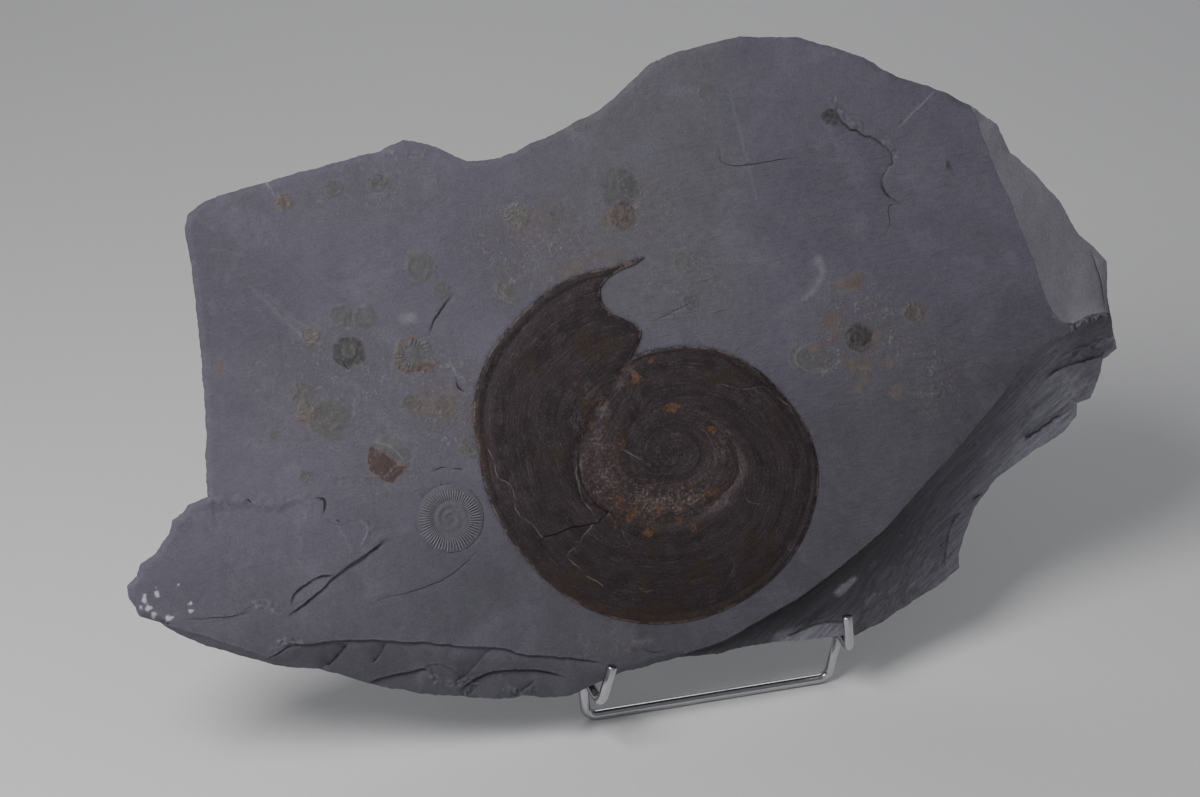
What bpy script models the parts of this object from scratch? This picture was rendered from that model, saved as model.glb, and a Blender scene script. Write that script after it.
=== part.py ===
"""Ammonite fossil slab on a stand of bent steel rod.

A broken slab of grey shale carries one large flattened ammonite and one small
ribbed ammonite. Each fossil is a solid of its own in a shallow pocket of the
slab. The slab leans back on a stand of bent and welded rod.

Lengths are in millimetres and become metres where a mesh is made.
Slab frame: u runs right along the face, v runs up it and w stands out of it.
Its origin is the middle of the large ammonite's coil.
Stand frame: x runs right along the front bar, y runs back and z runs up. Its
origin is on the table under the middle of the front bar.
"""
import math

import bmesh
import bpy
from mathutils import Vector, noise
from mathutils.geometry import delaunay_2d_cdt

METRES = 0.001

# ---- driving dimensions ------------------------------------------------------
LEAN = math.radians(26.0)             # the face leans back from upright
COIL_CENTRE = Vector((-14.6, 32.7, 147.9))   # slab origin in the stand frame
THICKNESS = 32.0                      # slab, face to back
SIDE_RUN = (0.25, -0.05)              # the broken sides run off in u, v per mm of depth
GAP = 0.35                            # between pieces that touch

ROD_RADIUS = 3.0
ROD_SIDES = 12
BEND_RADIUS = 7.0
BEND_STEPS = 4
FLAT_RADIUS = ROD_RADIUS * math.cos(math.pi / ROD_SIDES)   # axis to flat facet

# ---- the slab's outline ------------------------------------------------------
# Clockwise from the top left corner: u, v, and how far the front has dropped
# below the face where it meets the broken side.
OUTLINE = [
    (-254, 157, 1.0), (-251, 164, 1.0), (-244, 169, 1.0), (-234, 172, 1.0),
    (-207, 177, 1.0), (-175, 182, 1.0), (-143, 187, 1.0), (-130, 192, 1.0),
    (-117, 188, 1.0), (-105, 182, 1.0), (-96, 176, 1.0), (-77, 176, 1.0),
    (-59, 182, 1.0), (-38, 189, 1.0), (-17, 197, 1.0), (-5, 205, 1.0),
    (8, 215, 1.0), (15, 220, 1.0), (33, 225, 1.0), (69, 230, 1.0),
    (84, 228, 1.0), (103, 226, 1.0), (127, 217, 1.0), (141, 211, 1.0),
    (160, 198, 1.0), (189, 186, 1.0), (203, 177, 2.0), (219, 165, 5.0),
    (226, 148, 7.0), (238, 136, 8.0), (254, 116, 9.0), (259, 104, 9.0),
    (263, 96, 10.0), (272, 88, 10.0), (279, 78, 9.0), (277, 57, 8.0),
    (277, 47, 6.0), (279, 34, 10.0), (280, 26, 12.0), (271, 21, 14.0),
    (269, 14, 15.0), (261, -1, 17.0), (252, -3, 17.0), (251, -10, 18.0),
    (242, -19, 19.0), (221, -28, 21.0), (197, -40, 22.0), (181, -56, 23.0),
    (173, -71, 24.0), (168, -82, 24.0), (167, -90, 23.0), (159, -95, 22.0),
    (141, -103, 19.0), (127, -108, 15.0), (113, -114, 11.0), (97, -118, 8.0),
    (86, -117, 7.0), (63, -116, 7.0), (47, -115, 7.0), (31, -114, 6.0),
    (15, -116, 4.0), (-9, -114, 2.5), (-26, -116, 2.0), (-46, -118, 1.5),
    (-58, -121, 2.0), (-75, -126, 3.0), (-89, -125, 6.0), (-102, -122, 6.0),
    (-110, -123, 7.0), (-125, -120, 8.0), (-142, -116, 8.0), (-159, -112, 8.0),
    (-180, -105, 8.0), (-195, -98, 7.0), (-210, -91, 6.0), (-236, -84, 6.0),
    (-256, -75, 6.0), (-271, -68, 5.0), (-280, -63, 5.0), (-293, -53, 4.0),
    (-304, -47, 3.0), (-309, -35, 2.0), (-309, -30, 2.0), (-303, -25, 1.5),
    (-300, -19, 1.5), (-291, -14, 1.5), (-283, -5, 1.5), (-280, 2, 1.5),
    (-273, 6, 1.5), (-271, 9, 1.5), (-260, 12, 1.0), (-260, 20, 1.0),
    (-256, 46, 1.0), (-254, 84, 1.0), (-253, 120, 1.0), (-253, 136, 1.0),
]
OUTLINE_UV = [(u, v) for u, v, _ in OUTLINE]
RIM_WIDTH = 3.5                       # rounding of the face where it meets a side
HOLLOW_POWER = 3.0                    # how steeply the hollow break starts at its front edge
BACK_INSET = 4.0                      # of the back's outline inside the front's, all round,
BACK_INSET_LEFT = 5.0                 # with more where the side faces left
BACK_INSET_LOW = 21.0                 # and more where it faces down
SIDE_RIDGE = (0.42, 0.5)              # of the side's middle: share of the inset, of the depth
RIM_SPACING = 11.0                    # between points round the outline
FACE_SPACING = 15.0                   # between points of the front, and of its hollow break
HOLLOW_SPACING = 7.5
BACK_SPACING = 32.0
FIELD = (-312.0, 285.0, -130.0, 235.0)       # u and v that the fields of points cover

# Smooth unevenness: its height, its features per mm, and its layer of the noise.
FACE_WAVES = (0.35, 0.02, 3.7)
HOLLOW_WAVES = (0.8, 0.03, 9.1)
BACK_WAVES = (0.8, 0.02, 6.4)
SIDE_WAVES = (1.6, 0.09, 5.5)
RIDGE_WAVES = (0.12, 0.04, 8.0)
SHAKE_U = (0.35, 0.31, 1.3)
SHAKE_V = (0.35, 0.31, 7.9)

# Inner edge of the chipped facet at the upper right, from the top outline down.
CHIP_EDGE = [
    (203, 177), (208, 159), (213, 142), (216, 132), (221, 120), (224, 106),
    (227, 97), (232, 81), (234, 71), (237, 58), (241, 50), (246, 46),
    (252, 44), (260, 47), (270, 48), (277, 47),
]
# Front edge of the hollow break at the lower right, from the right tip down.
FLANK_EDGE = [
    (277, 47), (270, 46), (258, 43), (247, 38), (231, 33), (218, 23),
    (203, 9), (186, -6), (169, -21), (152, -34), (134, -49), (120, -60),
    (102, -71), (84, -81), (67, -90), (49, -97), (33, -103), (16, -109),
    (-3, -112), (-26, -116),
]

# Ledges on the face. The lower ground lies on the right of each path. Each has
# its drop and how far the lower ground reaches before it has risen again.
LEDGES = {
    "rough break at the left": ([(-262, 10), (-248, 9), (-231, 4), (-216, 4), (-200, 0)], 1.2, 60.0),
    "long crack": ([(-225, -58), (-220, -45), (-209, -41), (-197, -40), (-176, -30), (-163, -22)],
                   1.2, 26.0),
    "upper right crack": ([(121, 190), (124, 177), (132, 170), (144, 163), (153, 151), (145, 142),
                           (145, 135), (151, 126)], 1.0, 16.0),
    "long ledge": ([(-236, -79), (-218, -75), (-203, -75), (-187, -77), (-166, -81), (-151, -84),
                    (-133, -89), (-111, -93), (-97, -99), (-81, -102), (-57, -109), (-49, -112)],
                   2.2, 30.0),
    "low ledge": ([(-185, -100), (-170, -101), (-157, -101), (-152, -106)], 1.6, 12.0),
    "lowest ledge": ([(-134, -114), (-117, -110), (-98, -113), (-88, -117)], 1.8, 12.0),
}
# Upper edge of the ground that falls away under the long ledge, left to right.
APRON_EDGE = [
    (-293, -53), (-273, -63), (-253, -73), (-238, -79), (-226, -74), (-203, -76), (-166, -82),
    (-133, -90), (-97, -100), (-57, -110), (-46, -118),
]
APRON_POWER = 1.3                     # how gently that ground starts at its upper edge
LEDGE_SHARE = 1.5                     # of the drop at the outline, taken up by the ledges there
LEAST_APRON = 0.5
LEDGE_RUN = 1.3                       # width of a ledge's own face
LEDGE_FALL = 0.9 * LEDGE_RUN          # in which it takes its whole drop
LEDGE_TAPER = 0.12                    # share of a ledge in which it fades at each end
# The back has split along shallower layers at its ends. The shallower ground lies on
# the right of each path, out to the slab's side, and each has its rise.
BACK_LEDGES = [
    ([(-150, 230), (-158, 150), (-172, 118), (-165, 80), (-186, 44), (-180, 10), (-200, -30),
      (-190, -70), (-205, -130)], 6.5),
    ([(-240, 220), (-226, 150), (-236, 90), (-222, 50), (-240, 0), (-232, -120)], 3.5),
    ([(275, -50), (228, -8), (214, 30), (196, 60), (203, 98), (180, 130), (160, 165), (138, 190),
      (132, 245)], 5.0),
]

# ---- the large ammonite ------------------------------------------------------
# Turn in degrees from +u and radius of the keel line, from the tip of the
# rostrum inwards. Past 468 degrees the line is the seam under the whorl outside it.
KEEL_LINE = [
    (91, 112), (102, 111.5), (117, 115.5), (132, 117), (148, 118.7), (162, 115.4), (171, 110.4),
    (182, 108), (206, 101.5), (234, 98), (262, 95), (291, 93), (319, 92), (345, 88),
    (360, 83), (377, 75.3), (405, 68), (443, 60.5), (468, 58.8), (480, 52), (500, 50), (518, 51),
    (535, 56), (555, 54.8), (574, 48.3), (597, 40), (635, 37), (675, 37), (705, 40),
    (743, 30), (803, 26), (876, 27), (920, 22), (965, 15), (1010, 15), (1066, 19),
    (1110, 18), (1170, 15), (1260, 11), (1350, 8.5), (1440, 7),
]
APERTURE_TURN = KEEL_LINE[0][0]
APERTURE_LAG = 17.0                   # the mouth meets the seam this far round from its tip
MOUTH_FADE_TURN = 152.0               # the mouth's curve has died out by here
SEAM_TURN = 468.0
LAST_TURN = 1440.0
# The mouth's edge from seam to tip: share of the way, and its bulge off the chord.
MOUTH = [
    (0.0, 0.0, 0.0), (0.12, 6.0, 5.0), (0.2, 6.0, 5.0), (0.3, 1.0, 3.0), (0.4, -7.4, 1.6),
    (0.5, -16.0, 0.0), (0.6, -21.6, 1.4), (0.7, -23.0, 3.0), (0.8, -20.0, 2.0), (0.9, -13.0, 0.5),
    (0.97, -5.0, -1.0), (1.0, 0.0, 0.0),
]
# Where the rows of points round the whorls end, degrees between rows, and the
# shares of the way over the whorl at which each row has points.
WHORL_ROWS = [
    (SEAM_TURN, 5.0, (0.08, 0.17, 0.5, 0.83, 0.93)),
    (SEAM_TURN + 360.0, 7.5, (0.2, 0.5, 0.85)),
    (SEAM_TURN + 720.0, 12.0, (0.45,)),
    (LAST_TURN, 24.0, ()),
]
KEEL_HEIGHT = 0.5                     # of the outer rim, above the slab's face
SEAM_HEIGHT = 1.0
NAVEL_HEIGHT = 1.4
KEEL_RIDGE = 0.7                      # of the keel above the whorl's side
WHORL_RISE = 3.0                      # of the widest whorl's shoulder above its seam
FULL_WHORL = 50.0                     # a whorl this wide has the full rise
FOSSIL_DEPTH = 4.0                    # the fossils' undersides below the slab's face

# ---- the small ribbed ammonite ------------------------------------------------
RIBBED_CENTRE = (-129.5, -18.0)
RIBBED_RADIUS = 19.0
RIB_COUNT = 40
RIB_HEIGHT = 0.7
# radius share, height above the face, share of the rib height
RIBBED_RINGS = [
    (1.0, 0.3, 0.0), (0.94, 1.2, 0.6), (0.78, 1.8, 1.0), (0.62, 1.5, 0.7), (0.56, 0.7, 0.2),
    (0.42, 1.1, 0.4), (0.28, 0.6, 0.0),
]
RIBBED_CENTRE_HEIGHT = 0.9

# ---- the stand -----------------------------------------------------------------
FRONT_BAR_HALF = 73.6
LEFT_HOOK = (-74.0, -33.5)            # x, y of the bend below the upturned tip
RIGHT_HOOK = (78.2, -20.5)
LEFT_TIP = (-67.6, -33.5, 58.0)
RIGHT_TIP = (75.2, -20.5, 58.0)
LEFT_ARM_HEIGHT = 33.6
RIGHT_ARM_HEIGHT = 34.0
LEFT_POST_X = -76.6                   # posts of the backrest
RIGHT_POST_X = 79.6
POST_TOP_V = 70.0                     # how far up the slab's back the posts reach
BACKREST_BAR_V = 60.0
REAR_LEG_HALF = 58.0
REAR_LEG_SLOPE = math.radians(30.0)   # from upright


# ---- plane geometry --------------------------------------------------------------
def waves(point, kind):
    height, scale, layer = kind
    return height * noise.noise(Vector((point[0] * scale, point[1] * scale, layer)))


def smoothstep(low, high, value):
    share = min(max((value - low) / (high - low), 0.0), 1.0)
    return share * share * (3.0 - 2.0 * share)


def nearest_on_path(point, path, closed=False):
    """Distance to the path, place on it as index plus share, and whether the
    point lies on the right of the path there."""
    px, py = point
    best = (1e9, 0.0, False)
    count = len(path)
    for index in range(count if closed else count - 1):
        ax, ay = path[index]
        bx, by = path[(index + 1) % count]
        dx, dy = bx - ax, by - ay
        share = ((px - ax) * dx + (py - ay) * dy) / (dx * dx + dy * dy)
        share = min(max(share, 0.0), 1.0)
        gx, gy = px - ax - dx * share, py - ay - dy * share
        gap = math.hypot(gx, gy)
        if gap < best[0]:
            best = (gap, index + share, dx * gy - dy * gx < 0.0)
    return best


def inside(point, loop):
    px, py = point
    result = False
    for (ax, ay), (bx, by) in zip(loop, loop[1:] + loop[:1]):
        if (ay > py) != (by > py) and px < (bx - ax) * (py - ay) / (by - ay) + ax:
            result = not result
    return result


def offset_path(path, distance, closed=False, longest_mitre=1.6):
    """The path moved to its right by the distance, with mitred corners."""
    moved = []
    count = len(path)
    for index, here in enumerate(path):
        before = path[index - 1] if closed or index else here
        after = path[(index + 1) % count] if closed or index < count - 1 else here
        normals = []
        for start, end in ((before, here), (here, after)):
            along = Vector((end[0] - start[0], end[1] - start[1]))
            if along.length > 1e-9:
                along.normalize()
                normals.append(Vector((along.y, -along.x)))
        normal = sum(normals, Vector((0.0, 0.0))).normalized()
        mitre = min(1.0 / max(normal.dot(normals[0]), 0.1), longest_mitre)
        moved.append((here[0] + normal.x * distance * mitre, here[1] + normal.y * distance * mitre))
    return moved


def divide_path(path, longest, closed=False):
    """The path with each stretch cut so that none is longer than asked."""
    result = []
    count = len(path)
    for index in range(count if closed else count - 1):
        start, end = path[index], path[(index + 1) % count]
        pieces = max(1, math.ceil(math.dist(start[:2], end[:2]) / longest))
        for step in range(pieces):
            share = step / pieces
            result.append(tuple(a + (b - a) * share for a, b in zip(start, end)))
    if not closed:
        result.append(path[-1])
    return result


def outline_between(first, last):
    """Outline points from the one nearest to first, clockwise to last."""
    start = min(range(len(OUTLINE_UV)), key=lambda i: math.dist(OUTLINE_UV[i], first))
    end = min(range(len(OUTLINE_UV)), key=lambda i: math.dist(OUTLINE_UV[i], last))
    points = [OUTLINE_UV[start]]
    while start != end:
        start = (start + 1) % len(OUTLINE_UV)
        points.append(OUTLINE_UV[start])
    return points


CHIP_LOOP = CHIP_EDGE + outline_between(CHIP_EDGE[0], CHIP_EDGE[-1])[::-1][1:-1]
FLANK_LOOP = FLANK_EDGE + outline_between(FLANK_EDGE[0], FLANK_EDGE[-1])[::-1][1:-1]
APRON_LOOP = APRON_EDGE + outline_between(APRON_EDGE[-1], APRON_EDGE[0])[1:-1]


# ---- the slab's front as a surface --------------------------------------------------
def edge_drop(place):
    """How far the front has dropped at a place on the outline."""
    index = int(place)
    share = place - index
    here = OUTLINE[index % len(OUTLINE)][2]
    after = OUTLINE[(index + 1) % len(OUTLINE)][2]
    return here + (after - here) * share


def ledge_drop(point):
    drop = 0.0
    for path, height, reach in LEDGES.values():
        gap, place, is_right = nearest_on_path(point, path)
        if not is_right:
            continue
        along = place / (len(path) - 1)
        taper = smoothstep(0.0, LEDGE_TAPER, along) * smoothstep(0.0, LEDGE_TAPER, 1.0 - along)
        drop += height * taper * smoothstep(0.0, LEDGE_FALL, gap) * math.exp(-gap / reach)
    return drop


def front_depth(point):
    """Depth of the slab's front below its face."""
    edge_gap, place, _ = nearest_on_path(point, OUTLINE_UV, closed=True)
    drop = edge_drop(place)
    unevenness = waves(point, FACE_WAVES)

    def share_from(path):
        """Share of the way from the path to the outline."""
        gap = nearest_on_path(point, path)[0]
        return gap / (gap + edge_gap + 1e-6)

    if inside(point, FLANK_LOOP):
        share = share_from(FLANK_EDGE)
        return (drop * (1.0 - (1.0 - share) ** HOLLOW_POWER)
                + waves(point, HOLLOW_WAVES) * math.sin(math.pi * share))
    if inside(point, CHIP_LOOP):
        return (drop + unevenness) * share_from(CHIP_EDGE)
    if inside(point, APRON_LOOP):
        fallen = max(drop - LEDGE_SHARE, LEAST_APRON) * share_from(APRON_EDGE) ** APRON_POWER
        return max(unevenness, ledge_drop(point)) + fallen
    rim = 1.0 - smoothstep(0.0, RIM_WIDTH, edge_gap)
    return max(unevenness, ledge_drop(point)) * (1.0 - rim) + drop * rim


def back_depth(point):
    """Depth of the slab's back below its face. It is nowhere deeper than THICKNESS."""
    depth = THICKNESS
    for path, rise in BACK_LEDGES:
        gap, _, is_right = nearest_on_path(point, path)
        if is_right:
            depth -= rise * smoothstep(0.0, LEDGE_RUN, gap)
    return depth - max(waves(point, BACK_WAVES), 0.0)


def slab_place(point, depth):
    """Slab frame position of a point of the outline or face at a depth."""
    return (point[0] + SIDE_RUN[0] * depth, point[1] + SIDE_RUN[1] * depth, -depth)


# ---- meshes --------------------------------------------------------------------------
def to_stand(u, v, w):
    """Slab frame to stand frame."""
    return Vector((COIL_CENTRE.x + u,
                   COIL_CENTRE.y + v * math.sin(LEAN) - w * math.cos(LEAN),
                   COIL_CENTRE.z + v * math.cos(LEAN) + w * math.sin(LEAN)))


def material(name, colour, roughness, metallic):
    made = bpy.data.materials.new(name)
    made.use_nodes = True
    shader = made.node_tree.nodes["Principled BSDF"]
    shader.inputs["Base Color"].default_value = (*colour, 1.0)
    shader.inputs["Roughness"].default_value = roughness
    shader.inputs["Metallic"].default_value = metallic
    made.diffuse_color = (*colour, 1.0)
    return made


def finish_object(name, mesh_builder, finish, sharp_angle):
    """Closes a bmesh that is in stand millimetres into a smooth shaded object."""
    bmesh.ops.triangulate(mesh_builder, faces=mesh_builder.faces)
    bmesh.ops.recalc_face_normals(mesh_builder, faces=mesh_builder.faces)
    mesh = bpy.data.meshes.new(name)
    mesh_builder.to_mesh(mesh)
    mesh_builder.free()
    for vertex in mesh.vertices:
        vertex.co *= METRES
    mesh.shade_smooth()
    mesh.set_sharp_from_angle(angle=math.radians(sharp_angle))
    mesh.materials.append(finish)
    made = bpy.data.objects.new(name, mesh)
    bpy.context.scene.collection.objects.link(made)
    return made


def triangulate(points, chains, boundary):
    """Triangles over the points, with the chains as edges, inside the boundary."""
    edges = [pair for chain in chains for pair in zip(chain, chain[1:])]
    flat = [Vector((p[0], p[1])) for p in points]
    verts, _, faces, origin, _, _ = delaunay_2d_cdt(flat, edges, [boundary], 1, 1e-4)
    found = {}
    for new, olds in enumerate(origin):
        for old in olds:
            found[old] = new
    return [(p.x, p.y) for p in verts], faces, found


def bridge(mesh_builder, first, second):
    """Quads between two closed rings of vertices with equal counts."""
    count = len(first)
    for index in range(count):
        after = (index + 1) % count
        mesh_builder.faces.new((first[index], first[after], second[after], second[index]))


def scattered(spacing, keep):
    """A staggered, slightly shaken field of points over the slab that keep allows."""
    points = []
    left, right, low, high = FIELD
    row = 0
    v = low
    while v < high:
        u = left + (row % 2) * spacing * 0.5
        while u < right:
            point = (u + spacing * waves((u, v), SHAKE_U), v + spacing * waves((u, v), SHAKE_V))
            if keep(point):
                points.append(point)
            u += spacing
        v += spacing * math.sin(math.radians(60.0))
        row += 1
    return points


# ---- the large ammonite ------------------------------------------------------------
def keel_radius(turn):
    """Radius of the keel line at a turn, by a curve through KEEL_LINE."""
    turn = min(max(turn, KEEL_LINE[0][0]), KEEL_LINE[-1][0])
    index = max(i for i, (t, _) in enumerate(KEEL_LINE[:-1]) if t <= turn)
    (t0, r0), (t1, r1) = KEEL_LINE[max(index - 1, 0)], KEEL_LINE[index]
    (t2, r2), (t3, r3) = KEEL_LINE[index + 1], KEEL_LINE[min(index + 2, len(KEEL_LINE) - 1)]
    span = t2 - t1
    slope_in = (r2 - r0) / max(t2 - t0, 1e-9) * span
    slope_out = (r3 - r1) / max(t3 - t1, 1e-9) * span
    x = (turn - t1) / span
    return ((2 * x ** 3 - 3 * x ** 2 + 1) * r1 + (x ** 3 - 2 * x ** 2 + x) * slope_in
            + (3 * x ** 2 - 2 * x ** 3) * r2 + (x ** 3 - x ** 2) * slope_out)


def keel_point(turn):
    radius = keel_radius(turn)
    if turn > LAST_TURN:
        radius = 0.0
    return radius * math.cos(math.radians(turn)), radius * math.sin(math.radians(turn))


def mouth_bulge(share):
    for (s0, x0, y0), (s1, x1, y1) in zip(MOUTH, MOUTH[1:]):
        if share <= s1:
            part = (share - s0) / (s1 - s0)
            return x0 + (x1 - x0) * part, y0 + (y1 - y0) * part
    return 0.0, 0.0


def whorl_point(turn, share):
    """Point on a whorl: share runs from its inner seam, 0, to its keel, 1."""
    mouth = 1.0 - smoothstep(APERTURE_TURN, MOUTH_FADE_TURN, turn)
    seam = keel_point(turn + 360.0 + APERTURE_LAG * mouth)
    keel = keel_point(turn)
    bulge = mouth_bulge(share)
    return (seam[0] + (keel[0] - seam[0]) * share + bulge[0] * mouth,
            seam[1] + (keel[1] - seam[1]) * share + bulge[1] * mouth)


def joint_height(turn):
    """Height of the keel line: low at the outer rim, a little higher at a seam."""
    return KEEL_HEIGHT + (SEAM_HEIGHT - KEEL_HEIGHT) * smoothstep(SEAM_TURN - 10, SEAM_TURN, turn)


def whorl_height(turn, share):
    """A whorl rises steeply from its seam, sinks outwards and ends in its keel."""
    width = keel_radius(turn) - (keel_radius(turn + 360.0) if turn + 360.0 < LAST_TURN else 0.0)
    rise = WHORL_RISE * min(width / FULL_WHORL, 1.0)
    shape = smoothstep(0.0, 0.16, share) * (1.0 - 0.4 * share) * (1.0 - smoothstep(0.84, 0.93, share))
    keel = KEEL_RIDGE * smoothstep(0.9, 0.95, share) * (1.0 - smoothstep(0.95, 1.0, share))
    base = joint_height(turn + 360.0) * (1.0 - share) + joint_height(turn) * share
    return base + rise * shape + keel


def large_ammonite_points():
    """Points of the fossil's upper side as (u, v, height), and its chains."""
    points, keel_chain = [], []
    for last_turn, step, shares in WHORL_ROWS:
        turn = points[-1][3] + step if points else APERTURE_TURN
        while turn < last_turn + 0.01:
            if turn > APERTURE_TURN:
                for share in shares:
                    points.append((*whorl_point(turn, share), whorl_height(turn, share), turn))
            points.append((*keel_point(turn), joint_height(turn), turn))
            keel_chain.append(len(points) - 1)
            turn += step
    points.append((0.0, 0.0, NAVEL_HEIGHT, LAST_TURN))
    seam_end = min(keel_chain, key=lambda i: math.dist(points[i][:2], whorl_point(APERTURE_TURN, 0.0)))
    mouth_chain = [keel_chain[0]]
    for share, _, _ in MOUTH[-2:0:-1]:
        height = max(whorl_height(APERTURE_TURN, share) * 0.45, KEEL_HEIGHT)
        points.append((*whorl_point(APERTURE_TURN, share), height, APERTURE_TURN))
        mouth_chain.append(len(points) - 1)
    mouth_chain.append(seam_end)
    outer = keel_chain[:keel_chain.index(seam_end) + 1]
    boundary = outer + mouth_chain[-2:0:-1]
    return points, [keel_chain, mouth_chain], boundary


def fossil_solid(name, points, chains, boundary, finish, sharp_angle):
    """A fossil: its modelled upper side, an upright wall and a flat underside."""
    flat, faces, found = triangulate(points, chains, boundary)
    heights = {found[i]: p[2] for i, p in enumerate(points) if i in found}
    ring = [found[i] for i in boundary]
    builder = bmesh.new()
    top = [builder.verts.new(to_stand(u, v, heights.get(i, KEEL_HEIGHT)))
           for i, (u, v) in enumerate(flat)]
    base = [builder.verts.new(to_stand(*flat[i], -FOSSIL_DEPTH)) for i in ring]
    for face in faces:
        builder.faces.new([top[i] for i in face])
    bridge(builder, [top[i] for i in ring], base)
    builder.faces.new(base[::-1])
    loose = [vert for vert in builder.verts if not vert.link_faces]
    bmesh.ops.delete(builder, geom=loose, context="VERTS")
    return finish_object(name, builder, finish, sharp_angle)


def clockwise(loop):
    """The loop turned so that its inside lies on its right."""
    area = sum(ax * by - bx * ay for (ax, ay), (bx, by) in zip(loop, loop[1:] + loop[:1]))
    return loop if area < 0.0 else loop[::-1]


def large_ammonite_outline():
    points, _, boundary = large_ammonite_points()
    return clockwise([points[i][:2] for i in boundary])


# ---- the small ribbed ammonite --------------------------------------------------------
def ribbed_ammonite_points():
    points = []
    per_ring = RIB_COUNT * 2
    for ring, (share, height, ribs) in enumerate(RIBBED_RINGS):
        step = 1 if ring < len(RIBBED_RINGS) - 2 else 2
        for index in range(0, per_ring, step):
            angle = math.tau * (index + 0.5 * (share < 1.0) * (1.0 - share)) / per_ring
            crest = 1.0 if index % 2 == 0 else 0.0
            radius = RIBBED_RADIUS * share
            points.append((RIBBED_CENTRE[0] + radius * math.cos(angle),
                           RIBBED_CENTRE[1] + radius * math.sin(angle),
                           height + RIB_HEIGHT * ribs * (crest - 0.5)))
    points.append((*RIBBED_CENTRE, RIBBED_CENTRE_HEIGHT))
    boundary = list(range(per_ring))
    return points, [boundary + [0]], boundary


def ribbed_ammonite_outline():
    points, _, boundary = ribbed_ammonite_points()
    return clockwise([points[i][:2] for i in boundary])


# ---- the slab -----------------------------------------------------------------------------
def back_inset(outward):
    """How far the back's outline lies inside the front's, by the way the side faces."""
    return (BACK_INSET + BACK_INSET_LEFT * max(-outward.x, 0.0)
            + BACK_INSET_LOW * max(-outward.y, 0.0) ** 2)


def side_rings():
    """The outline divided, with its drop, the ring at mid depth as slab frame places,
    and the outline of the back."""
    rim = divide_path(OUTLINE, RIM_SPACING, closed=True)
    inner = offset_path([(u, v) for u, v, _ in rim], 1.0, closed=True)
    middle, back = [], []
    for (u, v, drop), (inner_u, inner_v) in zip(rim, inner):
        inward = Vector((inner_u - u, inner_v - v)).normalized()
        inset = back_inset(-inward)
        behind = (u + inward.x * inset, v + inward.y * inset)
        share = SIDE_RIDGE[1] + waves((u, v), RIDGE_WAVES)
        depth = drop + (back_depth(behind) - drop) * share
        middle_inset = inset * SIDE_RIDGE[0] + waves((u, v), SIDE_WAVES)
        middle.append(slab_place((u + inward.x * middle_inset, v + inward.y * middle_inset), depth))
        back.append(behind)
    return rim, middle, back


def front_points(rim, pockets):
    """Points and chains for the slab's front, the rim's points first."""
    points = [(u, v) for u, v, _ in rim]
    chains = [list(range(len(points))) + [0]]

    def add_chain(path, closed=False):
        first = len(points)
        points.extend(path)
        chain = list(range(first, len(points)))
        chains.append(chain + [first] if closed else chain)

    inset = offset_path(points[:], RIM_WIDTH, closed=True)
    points.extend(p for i, p in enumerate(inset) if i % 2 == 0 and inside(p, OUTLINE_UV)
                  and not inside(p, FLANK_LOOP) and not inside(p, CHIP_LOOP))
    add_chain(divide_path(CHIP_EDGE[1:-1], 12.0))
    add_chain(divide_path(FLANK_EDGE[1:-1], 9.0))
    guarded = [CHIP_EDGE, FLANK_EDGE]
    for path, _, _ in LEDGES.values():
        inner = [p for p in divide_path(path, 10.0) if nearest_on_path(p, OUTLINE_UV, True)[0] > 3.0]
        add_chain(inner)
        add_chain(offset_path(inner, LEDGE_RUN))
        guarded.append(path)
    for loop in pockets:
        add_chain(loop, closed=True)

    def clear(point, spacing):
        if not inside(point, OUTLINE_UV) or nearest_on_path(point, OUTLINE_UV, True)[0] < spacing * 0.55:
            return False
        if any(nearest_on_path(point, path)[0] < spacing * 0.45 for path in guarded):
            return False
        return all(not inside(point, loop) and nearest_on_path(point, loop, True)[0] > spacing * 0.4
                   for loop in pockets)

    points.extend(scattered(FACE_SPACING, lambda p: not inside(p, FLANK_LOOP)
                            and clear(p, FACE_SPACING)))
    points.extend(scattered(HOLLOW_SPACING, lambda p: inside(p, FLANK_LOOP)
                            and clear(p, HOLLOW_SPACING)))
    return points, chains


def back_points(outline):
    """Points and chains for the slab's back, the outline's points first."""
    points = list(outline)
    chains = [list(range(len(points))) + [0]]
    for path, _ in BACK_LEDGES:
        for side in (path, offset_path(path, LEDGE_RUN)):
            inner = [p for p in divide_path(side, 20.0)
                     if inside(p, outline) and nearest_on_path(p, outline, True)[0] > 6.0]
            chains.append(list(range(len(points), len(points) + len(inner))))
            points.extend(inner)
    points.extend(scattered(BACK_SPACING, lambda p: inside(p, outline)
                            and nearest_on_path(p, outline, True)[0] > 14.0
                            and all(nearest_on_path(p, path)[0] > 9.0 for path, _ in BACK_LEDGES)))
    return points, chains


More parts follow.
